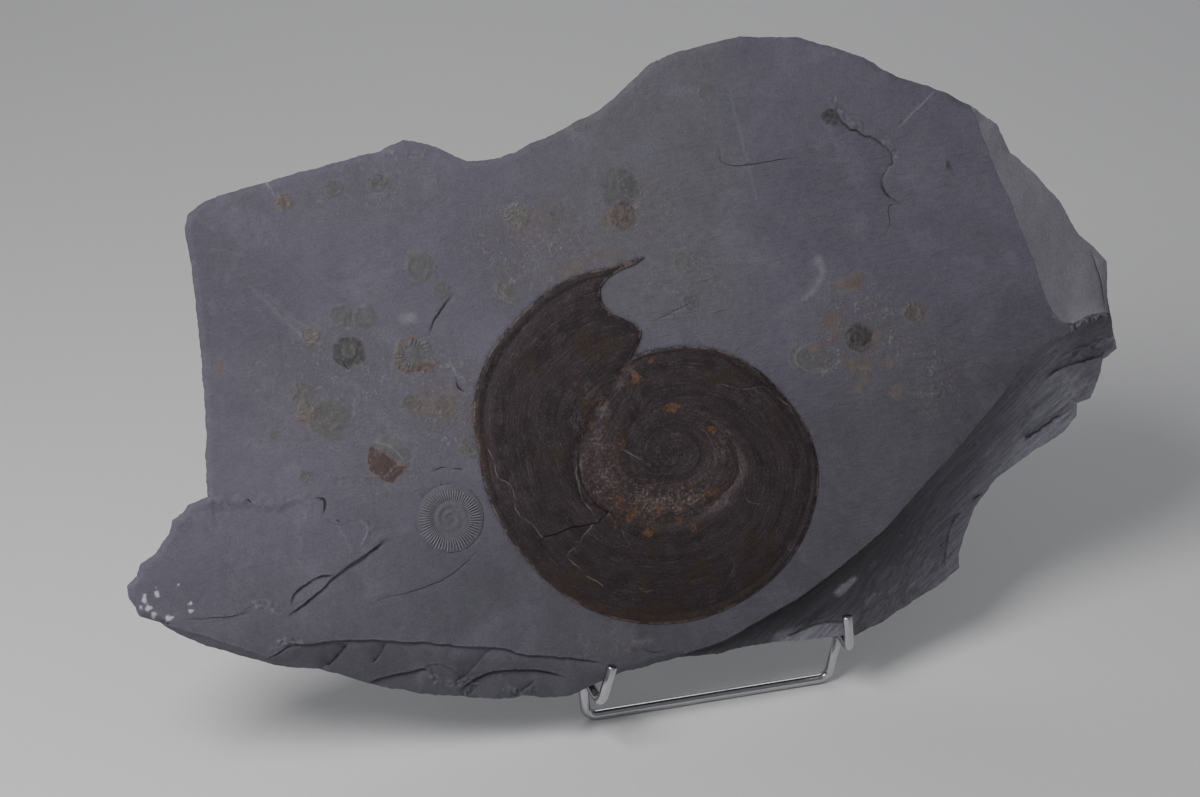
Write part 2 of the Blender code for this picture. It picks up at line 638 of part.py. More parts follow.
def shale_slab(finish):
    rim, middle, back = side_rings()
    pockets = [offset_path(outline, -GAP, closed=True, longest_mitre=4.0)
               for outline in (large_ammonite_outline(), ribbed_ammonite_outline())]
    points, chains = front_points(rim, pockets)
    flat, faces, found = triangulate(points, chains, list(range(len(rim))))
    builder = bmesh.new()
    front = [builder.verts.new(to_stand(*slab_place(p, front_depth(p)))) for p in flat]
    for face in faces:
        centre = (sum(flat[i][0] for i in face) / 3.0, sum(flat[i][1] for i in face) / 3.0)
        if not any(inside(centre, loop) for loop in pockets):
            builder.faces.new([front[i] for i in face])

    for chain in chains[-len(pockets):]:
        edge = [front[found[i]] for i in chain[:-1]]
        floor = [builder.verts.new(to_stand(*points[i], -(FOSSIL_DEPTH + GAP))) for i in chain[:-1]]
        bridge(builder, edge, floor)
        builder.faces.new(floor)

    behind, back_faces, back_found = triangulate(*back_points(back), list(range(len(back))))
    rear = [builder.verts.new(to_stand(*slab_place(p, back_depth(p)))) for p in behind]
    for face in back_faces:
        builder.faces.new([rear[i] for i in face])

    rim_ring = [front[found[i]] for i in range(len(rim))]
    middle_ring = [builder.verts.new(to_stand(*place)) for place in middle]
    back_ring = [rear[back_found[i]] for i in range(len(back))]
    bridge(builder, rim_ring, middle_ring)
    bridge(builder, middle_ring, back_ring)
    loose = [vert for vert in builder.verts if not vert.link_faces]
    bmesh.ops.delete(builder, geom=loose, context="VERTS")
    return finish_object("shale_slab", builder, finish, 35)


# ---- the stand ------------------------------------------------------------------------------
def rounded_path(corners):
    """The corners joined by straight runs, with an arc at each bend."""
    path = [corners[0]]
    for before, here, after in zip(corners, corners[1:], corners[2:]):
        back = (before - here).normalized()
        on = (after - here).normalized()
        half = back.angle(on) / 2.0
        trim = BEND_RADIUS / math.tan(half)
        middle = here + (back + on).normalized() * BEND_RADIUS / math.sin(half)
        start = here + back * trim - middle
        end = here + on * trim - middle
        turn = start.angle(end)
        for step in range(BEND_STEPS + 1):
            share = step / BEND_STEPS
            path.append(middle + (start * math.sin((1.0 - share) * turn)
                                  + end * math.sin(share * turn)) / math.sin(turn))
    path.append(corners[-1])
    return path


def rod(name, corners, across, finish):
    """A bent rod. Across is the normal of the plane that it is bent in."""
    path = rounded_path([Vector(corner) for corner in corners])
    builder = bmesh.new()
    rings = []
    for index, here in enumerate(path):
        before = path[max(index - 1, 0)]
        after = path[min(index + 1, len(path) - 1)]
        along = (after - before).normalized()
        side = (across - along * across.dot(along)).normalized()
        out = along.cross(side)
        ring = []
        for step in range(ROD_SIDES):
            angle = math.tau * (step + 0.5) / ROD_SIDES
            ring.append(builder.verts.new(here + (side * math.sin(angle) + out * math.cos(angle))
                                          * ROD_RADIUS))
        rings.append(ring)
    for first, second in zip(rings, rings[1:]):
        bridge(builder, first, second)
    builder.faces.new(rings[0][::-1])
    builder.faces.new(rings[-1])
    return finish_object(name, builder, finish, 50)


POST_DEPTH = THICKNESS + GAP + ROD_RADIUS          # of the posts' axes behind the face


def post_foot(x, height):
    """Where a post's axis comes down to the height of its arm."""
    v = (height - COIL_CENTRE.z + POST_DEPTH * math.sin(LEAN)) / math.cos(LEAN)
    return Vector((x, to_stand(0.0, v, -POST_DEPTH).y, height))


def arm_x(hook, foot):
    """x of an arm where it passes over the front bar."""
    share = -hook[1] / (foot.y - hook[1])
    return hook[0] + (foot.x - hook[0]) * share


def stand(finish):
    left_foot = post_foot(LEFT_POST_X, LEFT_ARM_HEIGHT)
    right_foot = post_foot(RIGHT_POST_X, RIGHT_ARM_HEIGHT)
    under_arm = ROD_RADIUS + GAP
    across_bar = Vector((0.0, 1.0, 0.0))
    sideways = Vector((1.0, 0.0, 0.0))

    rod("front_foot",
        [(arm_x(LEFT_HOOK, left_foot), 0.0, LEFT_ARM_HEIGHT - under_arm),
         (-FRONT_BAR_HALF, 0.0, FLAT_RADIUS),
         (FRONT_BAR_HALF, 0.0, FLAT_RADIUS),
         (arm_x(RIGHT_HOOK, right_foot), 0.0, RIGHT_ARM_HEIGHT - under_arm)],
        across_bar, finish)
    for name, tip, hook, foot, height in (
            ("left_cradle", LEFT_TIP, LEFT_HOOK, left_foot, LEFT_ARM_HEIGHT),
            ("right_cradle", RIGHT_TIP, RIGHT_HOOK, right_foot, RIGHT_ARM_HEIGHT)):
        top = to_stand(foot.x - COIL_CENTRE.x, POST_TOP_V, -POST_DEPTH)
        rod(name, [tip, (*hook, height), foot, top], sideways, finish)

    bar_left = to_stand(LEFT_POST_X + under_arm - COIL_CENTRE.x, BACKREST_BAR_V, -POST_DEPTH)
    bar_right = to_stand(RIGHT_POST_X - under_arm - COIL_CENTRE.x, BACKREST_BAR_V, -POST_DEPTH)
    rod("backrest_bar", [bar_left, bar_right], Vector((0.0, math.sin(LEAN), math.cos(LEAN))), finish)

    down = Vector((0.0, math.sin(REAR_LEG_SLOPE), -math.cos(REAR_LEG_SLOPE)))
    leg_top = bar_left + down * under_arm
    length = (leg_top.z - FLAT_RADIUS) / math.cos(REAR_LEG_SLOPE)
    leg_foot = leg_top + down * length
    rod("rear_leg",
        [(-REAR_LEG_HALF, leg_top.y, leg_top.z), (-REAR_LEG_HALF, leg_foot.y, FLAT_RADIUS),
         (REAR_LEG_HALF, leg_foot.y, FLAT_RADIUS), (REAR_LEG_HALF, leg_top.y, leg_top.z)],
        down.cross(sideways), finish)


# ---- assembly ------------------------------------------------------------------------------
def clear_scene():
    for old in list(bpy.data.objects):
        bpy.data.objects.remove(old, do_unlink=True)


def centre_on_origin():
    """Moves every mesh so that the whole part stands centred on the origin."""
    corners = [vertex.co for made in bpy.data.objects for vertex in made.data.vertices]
    shift = Vector([-(min(c[axis] for c in corners) + max(c[axis] for c in corners)) / 2.0
                    for axis in (0, 1)] + [-min(c.z for c in corners)])
    for made in bpy.data.objects:
        for vertex in made.data.vertices:
            vertex.co += shift


def main():
    clear_scene()
    shale = material("grey shale", (0.13, 0.13, 0.145), 0.75, 0.0)
    shell = material("brown fossil shell", (0.045, 0.032, 0.028), 0.55, 0.0)
    chrome = material("chromed steel rod", (0.62, 0.62, 0.64), 0.12, 1.0)
    shale_slab(shale)
    fossil_solid("large_ammonite", *large_ammonite_points(), shell, 40)
    fossil_solid("small_ribbed_ammonite", *ribbed_ammonite_points(), shale, 60)
    stand(chrome)
    centre_on_origin()


main()
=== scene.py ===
"""Looks of an ammonite fossil slab on its stand of bent rod.

The slab, the two ammonites and the rods are built here in fine detail over the
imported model. Lengths are in millimetres until a mesh is made.
Slab frame: u runs right along the face, v runs up it and w stands out of it.
Stand frame: x runs right along the front bar, y runs back and z runs up.
"""

import math

import bpy
import numpy as np
from mathutils import Matrix, Vector, noise
from mathutils.geometry import delaunay_2d_cdt, interpolate_bezier


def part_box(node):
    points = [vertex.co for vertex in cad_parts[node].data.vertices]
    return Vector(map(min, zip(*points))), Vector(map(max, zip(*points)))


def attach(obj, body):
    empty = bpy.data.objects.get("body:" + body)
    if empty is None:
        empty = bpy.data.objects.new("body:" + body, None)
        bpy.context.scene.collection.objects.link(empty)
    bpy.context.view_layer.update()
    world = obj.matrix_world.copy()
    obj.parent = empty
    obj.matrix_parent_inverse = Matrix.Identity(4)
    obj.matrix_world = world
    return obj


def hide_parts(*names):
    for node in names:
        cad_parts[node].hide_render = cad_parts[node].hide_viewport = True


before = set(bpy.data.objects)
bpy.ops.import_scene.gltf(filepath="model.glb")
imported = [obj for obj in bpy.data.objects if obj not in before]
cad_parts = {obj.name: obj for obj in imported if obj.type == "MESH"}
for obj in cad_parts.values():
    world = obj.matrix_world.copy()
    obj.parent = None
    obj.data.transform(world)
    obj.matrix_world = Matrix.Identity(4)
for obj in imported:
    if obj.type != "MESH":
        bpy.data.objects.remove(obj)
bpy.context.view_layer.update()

METRES = 0.001
MILLIMETRES = 1000.0


# ---- driving dimensions ------------------------------------------------------
def middle_of(node, axis):
    low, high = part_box(node)
    return (low[axis] + high[axis]) / 2.0


STAND_ORIGIN = Vector((middle_of("rear_leg", 0), middle_of("front_foot", 1), 0.0)) * MILLIMETRES
LEAN = math.radians(26.0)
COIL_CENTRE = Vector((-14.6, 32.7, 147.9))
THICKNESS = 32.0
SIDE_RUN = np.array((0.25, -0.05))    # the broken sides run off in u, v per mm of depth
GAP = 0.35

# Clockwise from the top left corner: u, v, and how far the front has dropped
# below the face where it meets the broken side.
OUTLINE = [
    (-254, 157, 1), (-251, 164, 1), (-244, 169, 1), (-234, 172, 1),
    (-207, 177, 1), (-175, 182, 1), (-143, 187, 1), (-130, 192, 1),
    (-117, 188, 1), (-105, 182, 1), (-96, 176, 1), (-77, 176, 1),
    (-59, 182, 1), (-38, 189, 1), (-17, 197, 1), (-5, 205, 1),
    (8, 215, 1), (15, 220, 1), (33, 225, 1), (69, 230, 1),
    (84, 228, 1), (103, 226, 1), (127, 217, 1), (141, 211, 1),
    (160, 198, 1), (189, 186, 1), (203, 177, 2), (219, 165, 5),
    (226, 148, 7), (238, 136, 8), (254, 116, 9), (259, 104, 9),
    (263, 96, 10), (272, 88, 10), (279, 78, 9), (277, 57, 8),
    (277, 47, 6), (279, 34, 10), (280, 26, 12), (271, 21, 14),
    (269, 14, 15), (261, -1, 17), (252, -3, 17), (251, -10, 18),
    (242, -19, 19), (221, -28, 21), (197, -40, 22), (181, -56, 23),
    (173, -71, 24), (168, -82, 24), (167, -90, 23), (159, -95, 22),
    (141, -103, 19), (127, -108, 15), (113, -114, 11), (97, -118, 8),
    (86, -117, 7), (63, -116, 7), (47, -115, 7), (31, -114, 6),
    (15, -116, 4), (-9, -114, 2.5), (-26, -116, 2), (-46, -118, 1.5),
    (-58, -121, 2), (-75, -126, 3), (-89, -125, 6), (-102, -122, 6),
    (-110, -123, 7), (-125, -120, 8), (-142, -116, 8), (-159, -112, 8),
    (-180, -105, 8), (-195, -98, 7), (-210, -91, 6), (-236, -84, 6),
    (-256, -75, 6), (-271, -68, 5), (-280, -63, 5), (-293, -53, 4),
    (-304, -47, 3), (-309, -35, 2), (-309, -30, 2), (-303, -25, 1.5),
    (-300, -19, 1.5), (-291, -14, 1.5), (-283, -5, 1.5), (-280, 2, 1.5),
    (-273, 6, 1.5), (-271, 9, 1.5), (-260, 12, 1), (-260, 20, 1),
    (-256, 46, 1), (-254, 84, 1), (-253, 120, 1), (-253, 136, 1),
]
OUTLINE_UV = [(u, v) for u, v, _ in OUTLINE]
RIM_WIDTH = 3.5
HOLLOW_POWER = 3.0                    # how steeply the hollow break starts at its front edge
FLANK_RUN = math.radians(35.0)        # the way the hollow break's edge runs
SLAB_RECTANGLE = (-312, 285, -130, 235)                # u and v ranges that hold the slab

# Inner edge of the chipped facet at the upper right, from the top outline down.
CHIP_EDGE = [
    (203, 177), (208, 159), (213, 142), (216, 132), (221, 120), (224, 106),
    (227, 97), (232, 81), (234, 71), (237, 58), (241, 50), (246, 46),
    (252, 44), (260, 47), (270, 48), (277, 47),
]
# Front edge of the hollow break at the lower right, from the right tip down.
FLANK_EDGE = [
    (277, 47), (270, 46), (258, 43), (247, 38), (231, 33), (218, 23),
    (203, 9), (186, -6), (169, -21), (152, -34), (134, -49), (120, -60),
    (102, -71), (84, -81), (67, -90), (49, -97), (33, -103), (16, -109),
    (-3, -112), (-26, -116),
]

# Upper edge of the ground that falls away under the long ledge, left to right.
APRON_EDGE = [
    (-293, -52), (-269, -63), (-248, -74), (-238, -79), (-226, -74), (-203, -75), (-166, -81),
    (-133, -90), (-97, -100), (-57, -110), (-46, -118),
]
APRON_POWER = 1.3
LEDGE_SHARE = 1.5                     # of the drop at the outline, taken up by the ledges there

# Ledges on the face: the lower ground lies on the right of each path. Each has
# its drop, how far the lower ground reaches before it has risen again, how ragged
# its line is, and how strong the painted shadow at its foot is; its crest gets a painted highlight.
LEDGES = {
    "rough break at the left": (
        [(-262, 10), (-248, 9), (-231, 4), (-216, 4), (-200, 0)], 1.2, 60, 3.2, 0),
    "step below the rough break": (
        [(-200, -6), (-190, -12), (-183, -10), (-172, -20)], 0.4, 9, 1.2, 0.1),
    "long crack": (
        [(-227, -59), (-218, -54), (-208, -48), (-196, -40), (-183, -34), (-168, -25), (-162, -22)],
        1.2, 20, 0.5, 1.3),
    "flake over the long crack": (
        [(-224, -54), (-221, -47), (-213, -42), (-205, -39), (-196, -40)], 0.8, 7, 0.5, 1.3),
    "upper right crack": (
        [(121, 190), (124, 177), (132, 170), (144, 163), (153, 151), (145, 142), (145, 135), (151, 126)],
        1.3, 12, 1.9, 1),
    "long ledge": (
        [(-238, -78), (-226, -73), (-218, -75), (-203, -75), (-187, -77), (-166, -81), (-151, -84),
         (-133, -89), (-111, -93), (-97, -99), (-81, -102), (-57, -109), (-49, -112)],
        2.2, 30, 0.7, 0.55),
    "low ledge": (
        [(-188, -102), (-178, -99), (-166, -99), (-155, -98), (-149, -103)], 2.2, 12, 0.7, 0.9),
    "lowest ledge": (
        [(-140, -117), (-131, -110), (-119, -106), (-98, -107), (-84, -111), (-72, -117)],
        2.4, 14, 0.7, 0.9),
    "left diagonal": ([(-194, -79), (-203, -87), (-213, -93)], 3, 11, 0.3, 1.4),
    "middle diagonal": ([(-173, -81), (-177, -87), (-182, -92)], 1.6, 8, 0.4, 0.9),
    "right diagonal": ([(-115, -94), (-121, -98), (-130, -106), (-139, -110)], 2, 14, 0.5, 0.2),
    "bottom diagonal": ([(-92, -115), (-99, -119), (-107, -123)], 1.6, 7, 0.5, 0.9),
    "chip at the bottom": ([(-125, -113), (-131, -117), (-139, -119)], 1.4, 6, 0.4, 0.8),
    "crest over the low ledge": (
        [(-157, -100), (-150, -96), (-141, -99), (-134, -106)], 0.8, 8, 0.8, 0.2),
    "tip bevel": ([(-294, -52), (-269, -63), (-248, -74), (-237, -79)], 0.6, 8, 0.7, 0.1),
    "swell over the tip bevel": (
        [(-268, -52), (-256, -54), (-244, -49), (-236, -48), (-229, -53), (-224, -58)],
        0.5, 8, 0.8, 0.15),
    "edge of the upper layer": (
        [(-197, 14), (-180, 13), (-164, 10), (-148, 12), (-138, 9)], 0.35, 14, 1.5, 0.12),
    "fine step at the right": ([(58, 205), (62, 180), (66, 152), (70, 120)], 0.22, 26, 0.8, 0),
    "fine step at the top": ([(182, 187), (170, 178), (158, 169)], 0.4, 10, 0.5, 0),
}
LEDGE_RUN = 1.1                       # how far a ledge takes to drop, unless it is a soft one
SOFT_LEDGES = {
    "rough break at the left": 6.0, "edge of the upper layer": 4.0, "swell over the tip bevel": 3.0,
}

# Layers left standing on the hollow break, from the right tip down: the ground on
# the right of each path is lower by the drop.
# Their last column is the strength of the painted shadow at the foot, and crests get a painted highlight,
# as for the ledges.
FLANK_LAYERS = {
    "upper shelf": ([(284, 26), (271, 22), (263, 21), (247, 19), (232, 12)], 3, 14, 0.9, 1),
    "lip of the right tip": ([(279, 33), (264, 30), (252, 28), (243, 23)], 1.2, 7, 0.8, 0.4),
    "second layer": ([(268, -1), (255, -4), (240, -10), (228, -16), (217, -22)], 3.6, 16, 1.2, 1),
    "inner layer": ([(176, -58), (170, -61), (164, -70), (161, -80), (160, -90)], 1.8, 10, 0.7, 0.5),
    "lower lip": ([(97, -112), (88, -110), (77, -109), (66, -111), (50, -116)], 3, 7, 0.6, 1),
}

# Ledges on the back: the slab is thinner on the right of each path, by the rise.
BACK_LEDGES = [
    ([(-150, 230), (-158, 150), (-172, 118), (-165, 80), (-186, 44), (-180, 10), (-200, -30),
      (-190, -70), (-205, -130)], 6.5),
    ([(-240, 220), (-226, 150), (-236, 90), (-222, 50), (-240, 0), (-232, -120)], 3.5),
    ([(275, -50), (228, -8), (214, 30), (196, 60), (203, 98), (180, 130), (160, 165), (138, 190),
      (132, 245)], 5),
]

# Fine open cracks in the face: path, half width, depth.
FACE_CRACKS = {
    "thin line over the long crack": ([(-174, -57), (-156, -55), (-138, -51), (-126, -45), (-116, -38)],
                                      0.4, 0.35),
    "tail of the upper right crack": ([(151, 126), (146, 124), (146, 115), (143, 110)], 0.4, 0.3),
    "dark stretch of the upper right crack": ([(146, 144), (144, 137), (147, 130), (152, 126)], 0.9, 0.9),
    "hooked line": ([(49, 167), (50, 160), (64, 157), (79, 158), (95, 158)], 0.4, 0.3),
    "crack over the ribbed fragment": ([(-113, 104), (-120, 97), (-125, 91), (-129, 84)], 1.1, 0.8),
    "first nick over the ribbed ammonite": ([(-136, 9), (-132, 10), (-128, 10)], 0.5, 0.4),
    "second nick over the ribbed ammonite": ([(-125, 9), (-119, 8)], 0.5, 0.4),
    "third nick over the ribbed ammonite": ([(-132, -1), (-123, -1)], 0.4, 0.3),
    "line at the left tip": ([(-242, -52), (-250, -54), (-259, -54), (-270, -53), (-283, -52)], 0.4, 0.25),
    "dark hook": ([(-117, 57), (-116, 53), (-112, 50)], 0.8, 0.6),
    "hook at the rough break": ([(-202, 3), (-198, 2), (-197, -1), (-199, -6)], 0.9, 0.9),
    "speck under the hook": ([(-192, -10), (-190, -12)], 0.6, 0.5),
    "speck on the rough break": ([(-239, 8), (-237, 5)], 0.7, 0.6),
    "middle of the long crack": ([(-200, -42), (-190, -37), (-178, -31), (-166, -24)], 0.7, 0.6),
    "start of the long ledge": ([(-239, -80), (-232, -78), (-226, -75), (-216, -75)], 0.8, 0.8),
    "rim of the chip": ([(270, 86), (271, 79), (274, 64), (273, 50)], 0.7, 0.5),
    "short line over the mouth": ([(-1, 76), (12, 80), (25, 85)], 0.3, 0.15),
    "notch in the hollow": ([(180, -52), (187, -48)], 1, 1),
    "tail of the dark coil": ([(-178, 76), (-177, 73), (-175, 70)], 0.6, 0.3),
    "line under the large ammonite": ([(-30, -106), (-24, -109), (-16, -109)], 0.4, 0.2),
}
# Pale raised lines, such as the cut edges of shells: path, half width at its start
# and at its end, strength.
PALE_LINES = {
    "crease at the upper right": ([(182, 187), (170, 178), (158, 169)], 0.6, 0.4, 0.6),
    "scratch at the top": ([(-207, 176), (-205, 173), (-204, 169)], 0.8, 0.5, 0.8),
    "outer edge of the tapered shell": ([(-223, 122), (-213, 110), (-205, 99), (-197, 91), (-189, 86)],
                                        0.3, 0.7, 0.28),
    "inner edge of the tapered shell": ([(-223, 122), (-210, 112), (-202, 102), (-196, 97), (-189, 93)],
                                        0.3, 0.5, 0.22),
    "end of the tapered shell": ([(-189, 93), (-187, 90), (-189, 86)], 0.6, 0.5, 0.3),
    "squiggle by the dark hook": ([(-121, 66), (-117, 64), (-116, 60), (-112, 58)], 0.6, 0.5, 0.7),
    "arc by the half shell": ([(-149, 16), (-145, 18), (-143, 23)], 0.5, 0.5, 0.5),
    "arc over the half shell": ([(-165, 29), (-158, 26), (-151, 17)], 0.6, 0.5, 0.6),
    "crescent shell": ([(100, 99), (102, 92), (99, 87), (94, 81), (88, 77)], 2.9, 0.6, 0.8),
    "white disc": ([(-141, 94), (-137, 94)], 3, 3, 0.7),
    "cup mark": ([(8, 94), (10, 91), (14, 91)], 0.5, 0.5, 0.5),
    "mark right of the brown shells": ([(145, 17), (152, 15), (164, 14)], 0.4, 0.4, 0.5),
    "ripple at the left": ([(-243, -48), (-238, -50), (-233, -49)], 0.6, 0.5, 0.5),
    "pale stone in the hollow": ([(90, -92), (95, -89), (100, -86)], 2.6, 1.8, 1),
    "pale fleck by the right hook": ([(107, -100), (110, -98), (112, -97)], 1.3, 0.9, 0.8),
    "streak under the hook": ([(-191, -15), (-188, -22), (-186, -29)], 1.2, 0.5, 0.4),
    "curl over the long crack": ([(-179, -13), (-176, -18), (-180, -25)], 1, 0.6, 0.6),
    "curl by the brown shells": ([(91, 52), (83, 50), (80, 43), (86, 37)], 0.7, 0.5, 0.6),
    "second curl by the brown shells": ([(106, 40), (98, 36), (90, 35)], 0.6, 0.4, 0.5),
    "lip of the chip": ([(241, 50), (247, 46), (254, 45)], 1.2, 1.2, 0.7),
    "outer edge of the chip": ([(276, 82), (277, 66), (276, 54)], 1, 0.8, 0.6),
}
# Crumbly broken edges with pale crumbs: path, half width, roughness.
CRUMBLES = {
    "rough break at the left": (
        [(-266, 9), (-252, 8), (-240, 6), (-228, 4), (-214, 3), (-202, 2)], 9, 0.22),
    "swell over the tip bevel": ([(-243, -52), (-236, -49), (-232, -52), (-227, -57)], 3.6, 0.5),
    "flake at the long ledge": ([(-236, -77), (-232, -72), (-225, -73), (-217, -73)], 2.4, 0.7),
    "squiggle over the long crack": ([(-178, -12), (-174, -18), (-175, -24)], 2.6, 0.5),
    "lump on the low ledge": ([(-151, -99), (-149, -104), (-148, -108)], 2.4, 0.9),
    "crumbs over the lowest ledge": ([(-144, -108), (-136, -110), (-128, -110), (-131, -115)], 2.6, 0.9),
    "crumbs at the bottom": ([(-112, -115), (-104, -119), (-92, -120)], 2.4, 0.6),
    "top edge at the notch": ([(-138, 184), (-127, 183), (-117, 182)], 2.6, 0.5),
    "head of the upper right crack": (
        [(118, 192), (122, 186), (127, 180), (131, 174), (138, 170)], 4.4, 0.55),
    "bend of the upper right crack": ([(146, 163), (151, 158), (155, 151)], 2.6, 0.5),
    "right tip": ([(250, 41), (258, 44), (266, 45), (275, 45)], 3.6, 1.4),
    "under the right tip": ([(249, 26), (255, 25), (266, 28), (278, 33)], 2.4, 0.9),
}
# Lens shaped chips in the hollow break: u, v, half length, half width.
FLANK_CHIPS = [
    (90, -89, 5.5, 1.3), (112, -79, 4, 1.2), (207, 6, 2.6, 1.7), (215, 13, 5, 0.8),
    (184, -19, 5, 0.8), (131, -65, 4, 0.8), (158, -76, 3, 0.9), (239, 28, 5, 1),
    (253, 24, 6, 1.5), (262, 38, 5, 1), (268, 30, 4.4, 0.9),
]

# Small fossils in low relief: kind, u, v, radius, relief, rust, cream, dark.
SMALL_FOSSILS = [
    ("eye", -174, 80, 9.5, 0.7, 0, 0.4, 0.6),
    ("ring", -139, 74, 12.5, 0.8, 0.9, 0.75, 0.12),
    ("coil", -189, 46, 12, 0.5, 0.1, 0.25, 0.1),
    ("ribs", -201, 50, 5.5, 0.6, 0.55, 0.7, 0.08),
    ("ribs", -202, 61, 6.5, 0.5, 0.1, 0.5, 0.1),
    ("ribs", -194, 91, 5.5, 0.7, 0.5, 0.8, 0.1),
    ("half", -160, 20, 12.5, 0.7, 1, 0.8, 0.1),
    ("coil", -163, 98, 7.5, 0.5, 0.08, 0.3, 0.05),
    ("coil", -176, 100, 6.5, 0.5, 0.08, 0.25, 0.05),
    ("ribs", -199, 165, 5, 0.5, 0.7, 0.5, 0.2),
    ("coil", -171, 169, 5.5, 0.5, 0.05, 0.5, 0.1),
    ("coil", -147, 170, 5.5, 0.6, 0.06, 0.4, 0.25),
    ("coil", -129, 121, 9.5, 0.6, 0.12, 0.4, 0.08),
    ("coil", -119, 107, 5, 0.5, 0.15, 0.3, 0.12),
    ("disc", -12, 152, 12, 0.4, 0.03, 0, 0.3),
    ("coil", -7, 153, 5, 0.5, 0, 0.25, 0.5),
    ("ribs", -12, 137, 8, 0.6, 0.55, 0.3, 0.4),
    ("arc", -78, 103, 10, 0.6, 0.15, 0.7, 0),
    ("ribs", -72, 143, 8, 0.6, 0.15, 0.6, 0),
    ("coil", -50, 143, 5, 0.4, 0.1, 0.2, 0.15),
    ("coil", 22, 106, 9, 0.4, 0, 0.3, 0),
    ("coil", 22, 84, 5, 0.4, 0.05, 0.2, 0.2),
    ("coil", -113, 20, 6.5, 0.6, 0.1, 0.35, 0.15),
    ("coil", -125, 44, 7, 0.5, 0.35, 0.3, 0.1),
    ("coil", -143, 47, 6, 0.5, 0.15, 0.25, 0.1),
    ("coil", 119, 52, 8.5, 0.9, 0.3, 0.1, 0.8),
    ("ribs", 154, 62, 6.5, 0.7, 0.45, 0.5, 0.25),
    ("coil", 84, 45, 8.5, 0.5, 0.08, 0.35, 0),
    ("coil", 96, 42, 5.5, 0.5, 0.15, 0.3, 0.05),
    ("disc", 139, 19, 4, 0.3, 0.45, 0.2, 0.1),
    ("coil", 163, 14, 5, 0.5, 0.05, 0.35, 0.1),
    ("coil", 178, -2, 4, 0.5, 0, 0.15, 0.25),
    ("coil", 171, -17, 3.5, 0.4, 0, 0.15, 0.2),
    ("coil", -206, 16, 4, 0.4, 0.1, 0.3, 0.05),
    ("coil", -220, 41, 3.5, 0.4, 0.1, 0.35, 0),
    ("disc", 185, 144, 1.8, 0.2, 0, 0, 0.7),
    ("disc", 117, 179, 5, 0.3, 0, 0, 0.8),
    ("disc", -35, -105, 1.5, 0.2, 0, 0, 0.7),
    ("coil", -30, 190, 5, 0.4, 0.05, 0.25, 0.1),
    ("coil", 45, 200, 5, 0.4, 0.02, 0.2, 0.1),
]
# Stains with ragged edges: u, v, half width, half height, rust, cream.
STAINS = [
    (-245, 80, 4, 5, 0.5, 0.5), (-130, 47, 16, 8, 0.3, 0.3), (-200, 46, 9, 7, 0.2, 0.25),
    (119, 82, 10, 7, 0.62, 0.4), (104, 62, 5, 10, 0.45, 0.4), (94, 50, 7, 4, 0.4, 0.4),
    (130, 51, 4, 6, 0.45, 0.4), (118, 34, 10, 9, 0.55, 0.4), (115, 22, 3, 5, 0.4, 0.3),
    (135, 35, 5, 5, 0.35, 0.3), (138, 18, 5, 5, 0.45, 0.3),
    (-15, 135, 12, 7, 0.4, 0.2), (-33, -102, 15, 4, 0.1, 0.5), (-60, 138, 22, 12, 0.2, 0.25),
    (-45, 112, 20, 7, 0.3, 0.25), (-22, 116, 20, 5, 0.25, 0.2), (-106, 60, 8, 14, 0.12, 0.3),
]
# Beds crowded with bits of shell: u, v, half width, half height, strength.
SHELL_BEDS = [
    (-178, 62, 66, 50, 0.6), (-122, 44, 34, 42, 0.9), (-64, 124, 52, 40, 0.9), (-4, 140, 36, 34, 0.7),
    (118, 54, 44, 42, 1), (158, 30, 34, 44, 0.6), (-60, -100, 50, 10, 0.4), (22, 96, 40, 26, 0.4),
    (-150, 165, 60, 20, 0.4), (-160, 6, 40, 14, 0.5),
]
# Dabs of pale paint on the left tip: u, v, half width, half height.
PAINT_DABS = [
    (-293, -36, 1.3, 2.2), (-300, -38, 1.2, 2.4), (-298, -43, 2, 1.3), (-296, -47, 1.6, 1.6),
    (-288, -50, 2.4, 1.2), (-303, -42, 1, 1.2), (-281, -33, 0.9, 0.9), (-276, -44, 1.2, 0.9),
    (-276, -48, 1.4, 0.9),
]
TIP_RECTANGLE = (-307, -272, -53, -30)                 # u and v ranges that hold the dabs

# ---- the large ammonite ------------------------------------------------------
# Its outer edge, inwards from the mouth: turn in degrees, distance from the middle.
KEEL_LINE = [
    (91, 112), (102, 111.5), (117, 115.5), (132, 117), (148, 118.7), (162, 115.4), (171, 110.4),
    (182, 108), (206, 101.5), (234, 98), (262, 95), (291, 93), (319, 92), (345, 88),
    (360, 83), (377, 75.3), (405, 68), (443, 60.5), (468, 58.8), (480, 52), (500, 50), (518, 51),
    (535, 56), (555, 54.8), (574, 48.3), (597, 40), (635, 37), (675, 37), (705, 40),
    (743, 30), (803, 26), (876, 27), (920, 22), (965, 15), (1010, 15), (1066, 19),
    (1110, 18), (1170, 15), (1260, 11), (1350, 8.5), (1440, 7),
]
APERTURE_TURN = KEEL_LINE[0][0]
APERTURE_LAG = 17.0                   # degrees by which the mouth's edge trails at the seam
MOUTH_FADE_TURN = 152.0
SEAM_TURN = 468.0                     # from here on the edge is a seam inside the shell
LAST_TURN = KEEL_LINE[-1][0]
# The mouth's edge: share of the way from seam to keel, and how far it is off the
# straight line between them in u and v.
MOUTH = [
    (0, 0, 0), (0.12, 6, 5), (0.2, 6, 5), (0.3, 1, 3), (0.4, -7.4, 1.6),
    (0.5, -16, 0), (0.6, -21.6, 1.4), (0.7, -23, 3), (0.8, -20, 2), (0.9, -13, 0.5),
    (0.97, -5, -1), (1, 0, 0),
]
KEEL_HEIGHT = 0.5
SEAM_HEIGHT = 1.0
WHORL_RISE = 2.0
FULL_WHORL = 50.0                     # whorls as wide as this or wider have the full rise

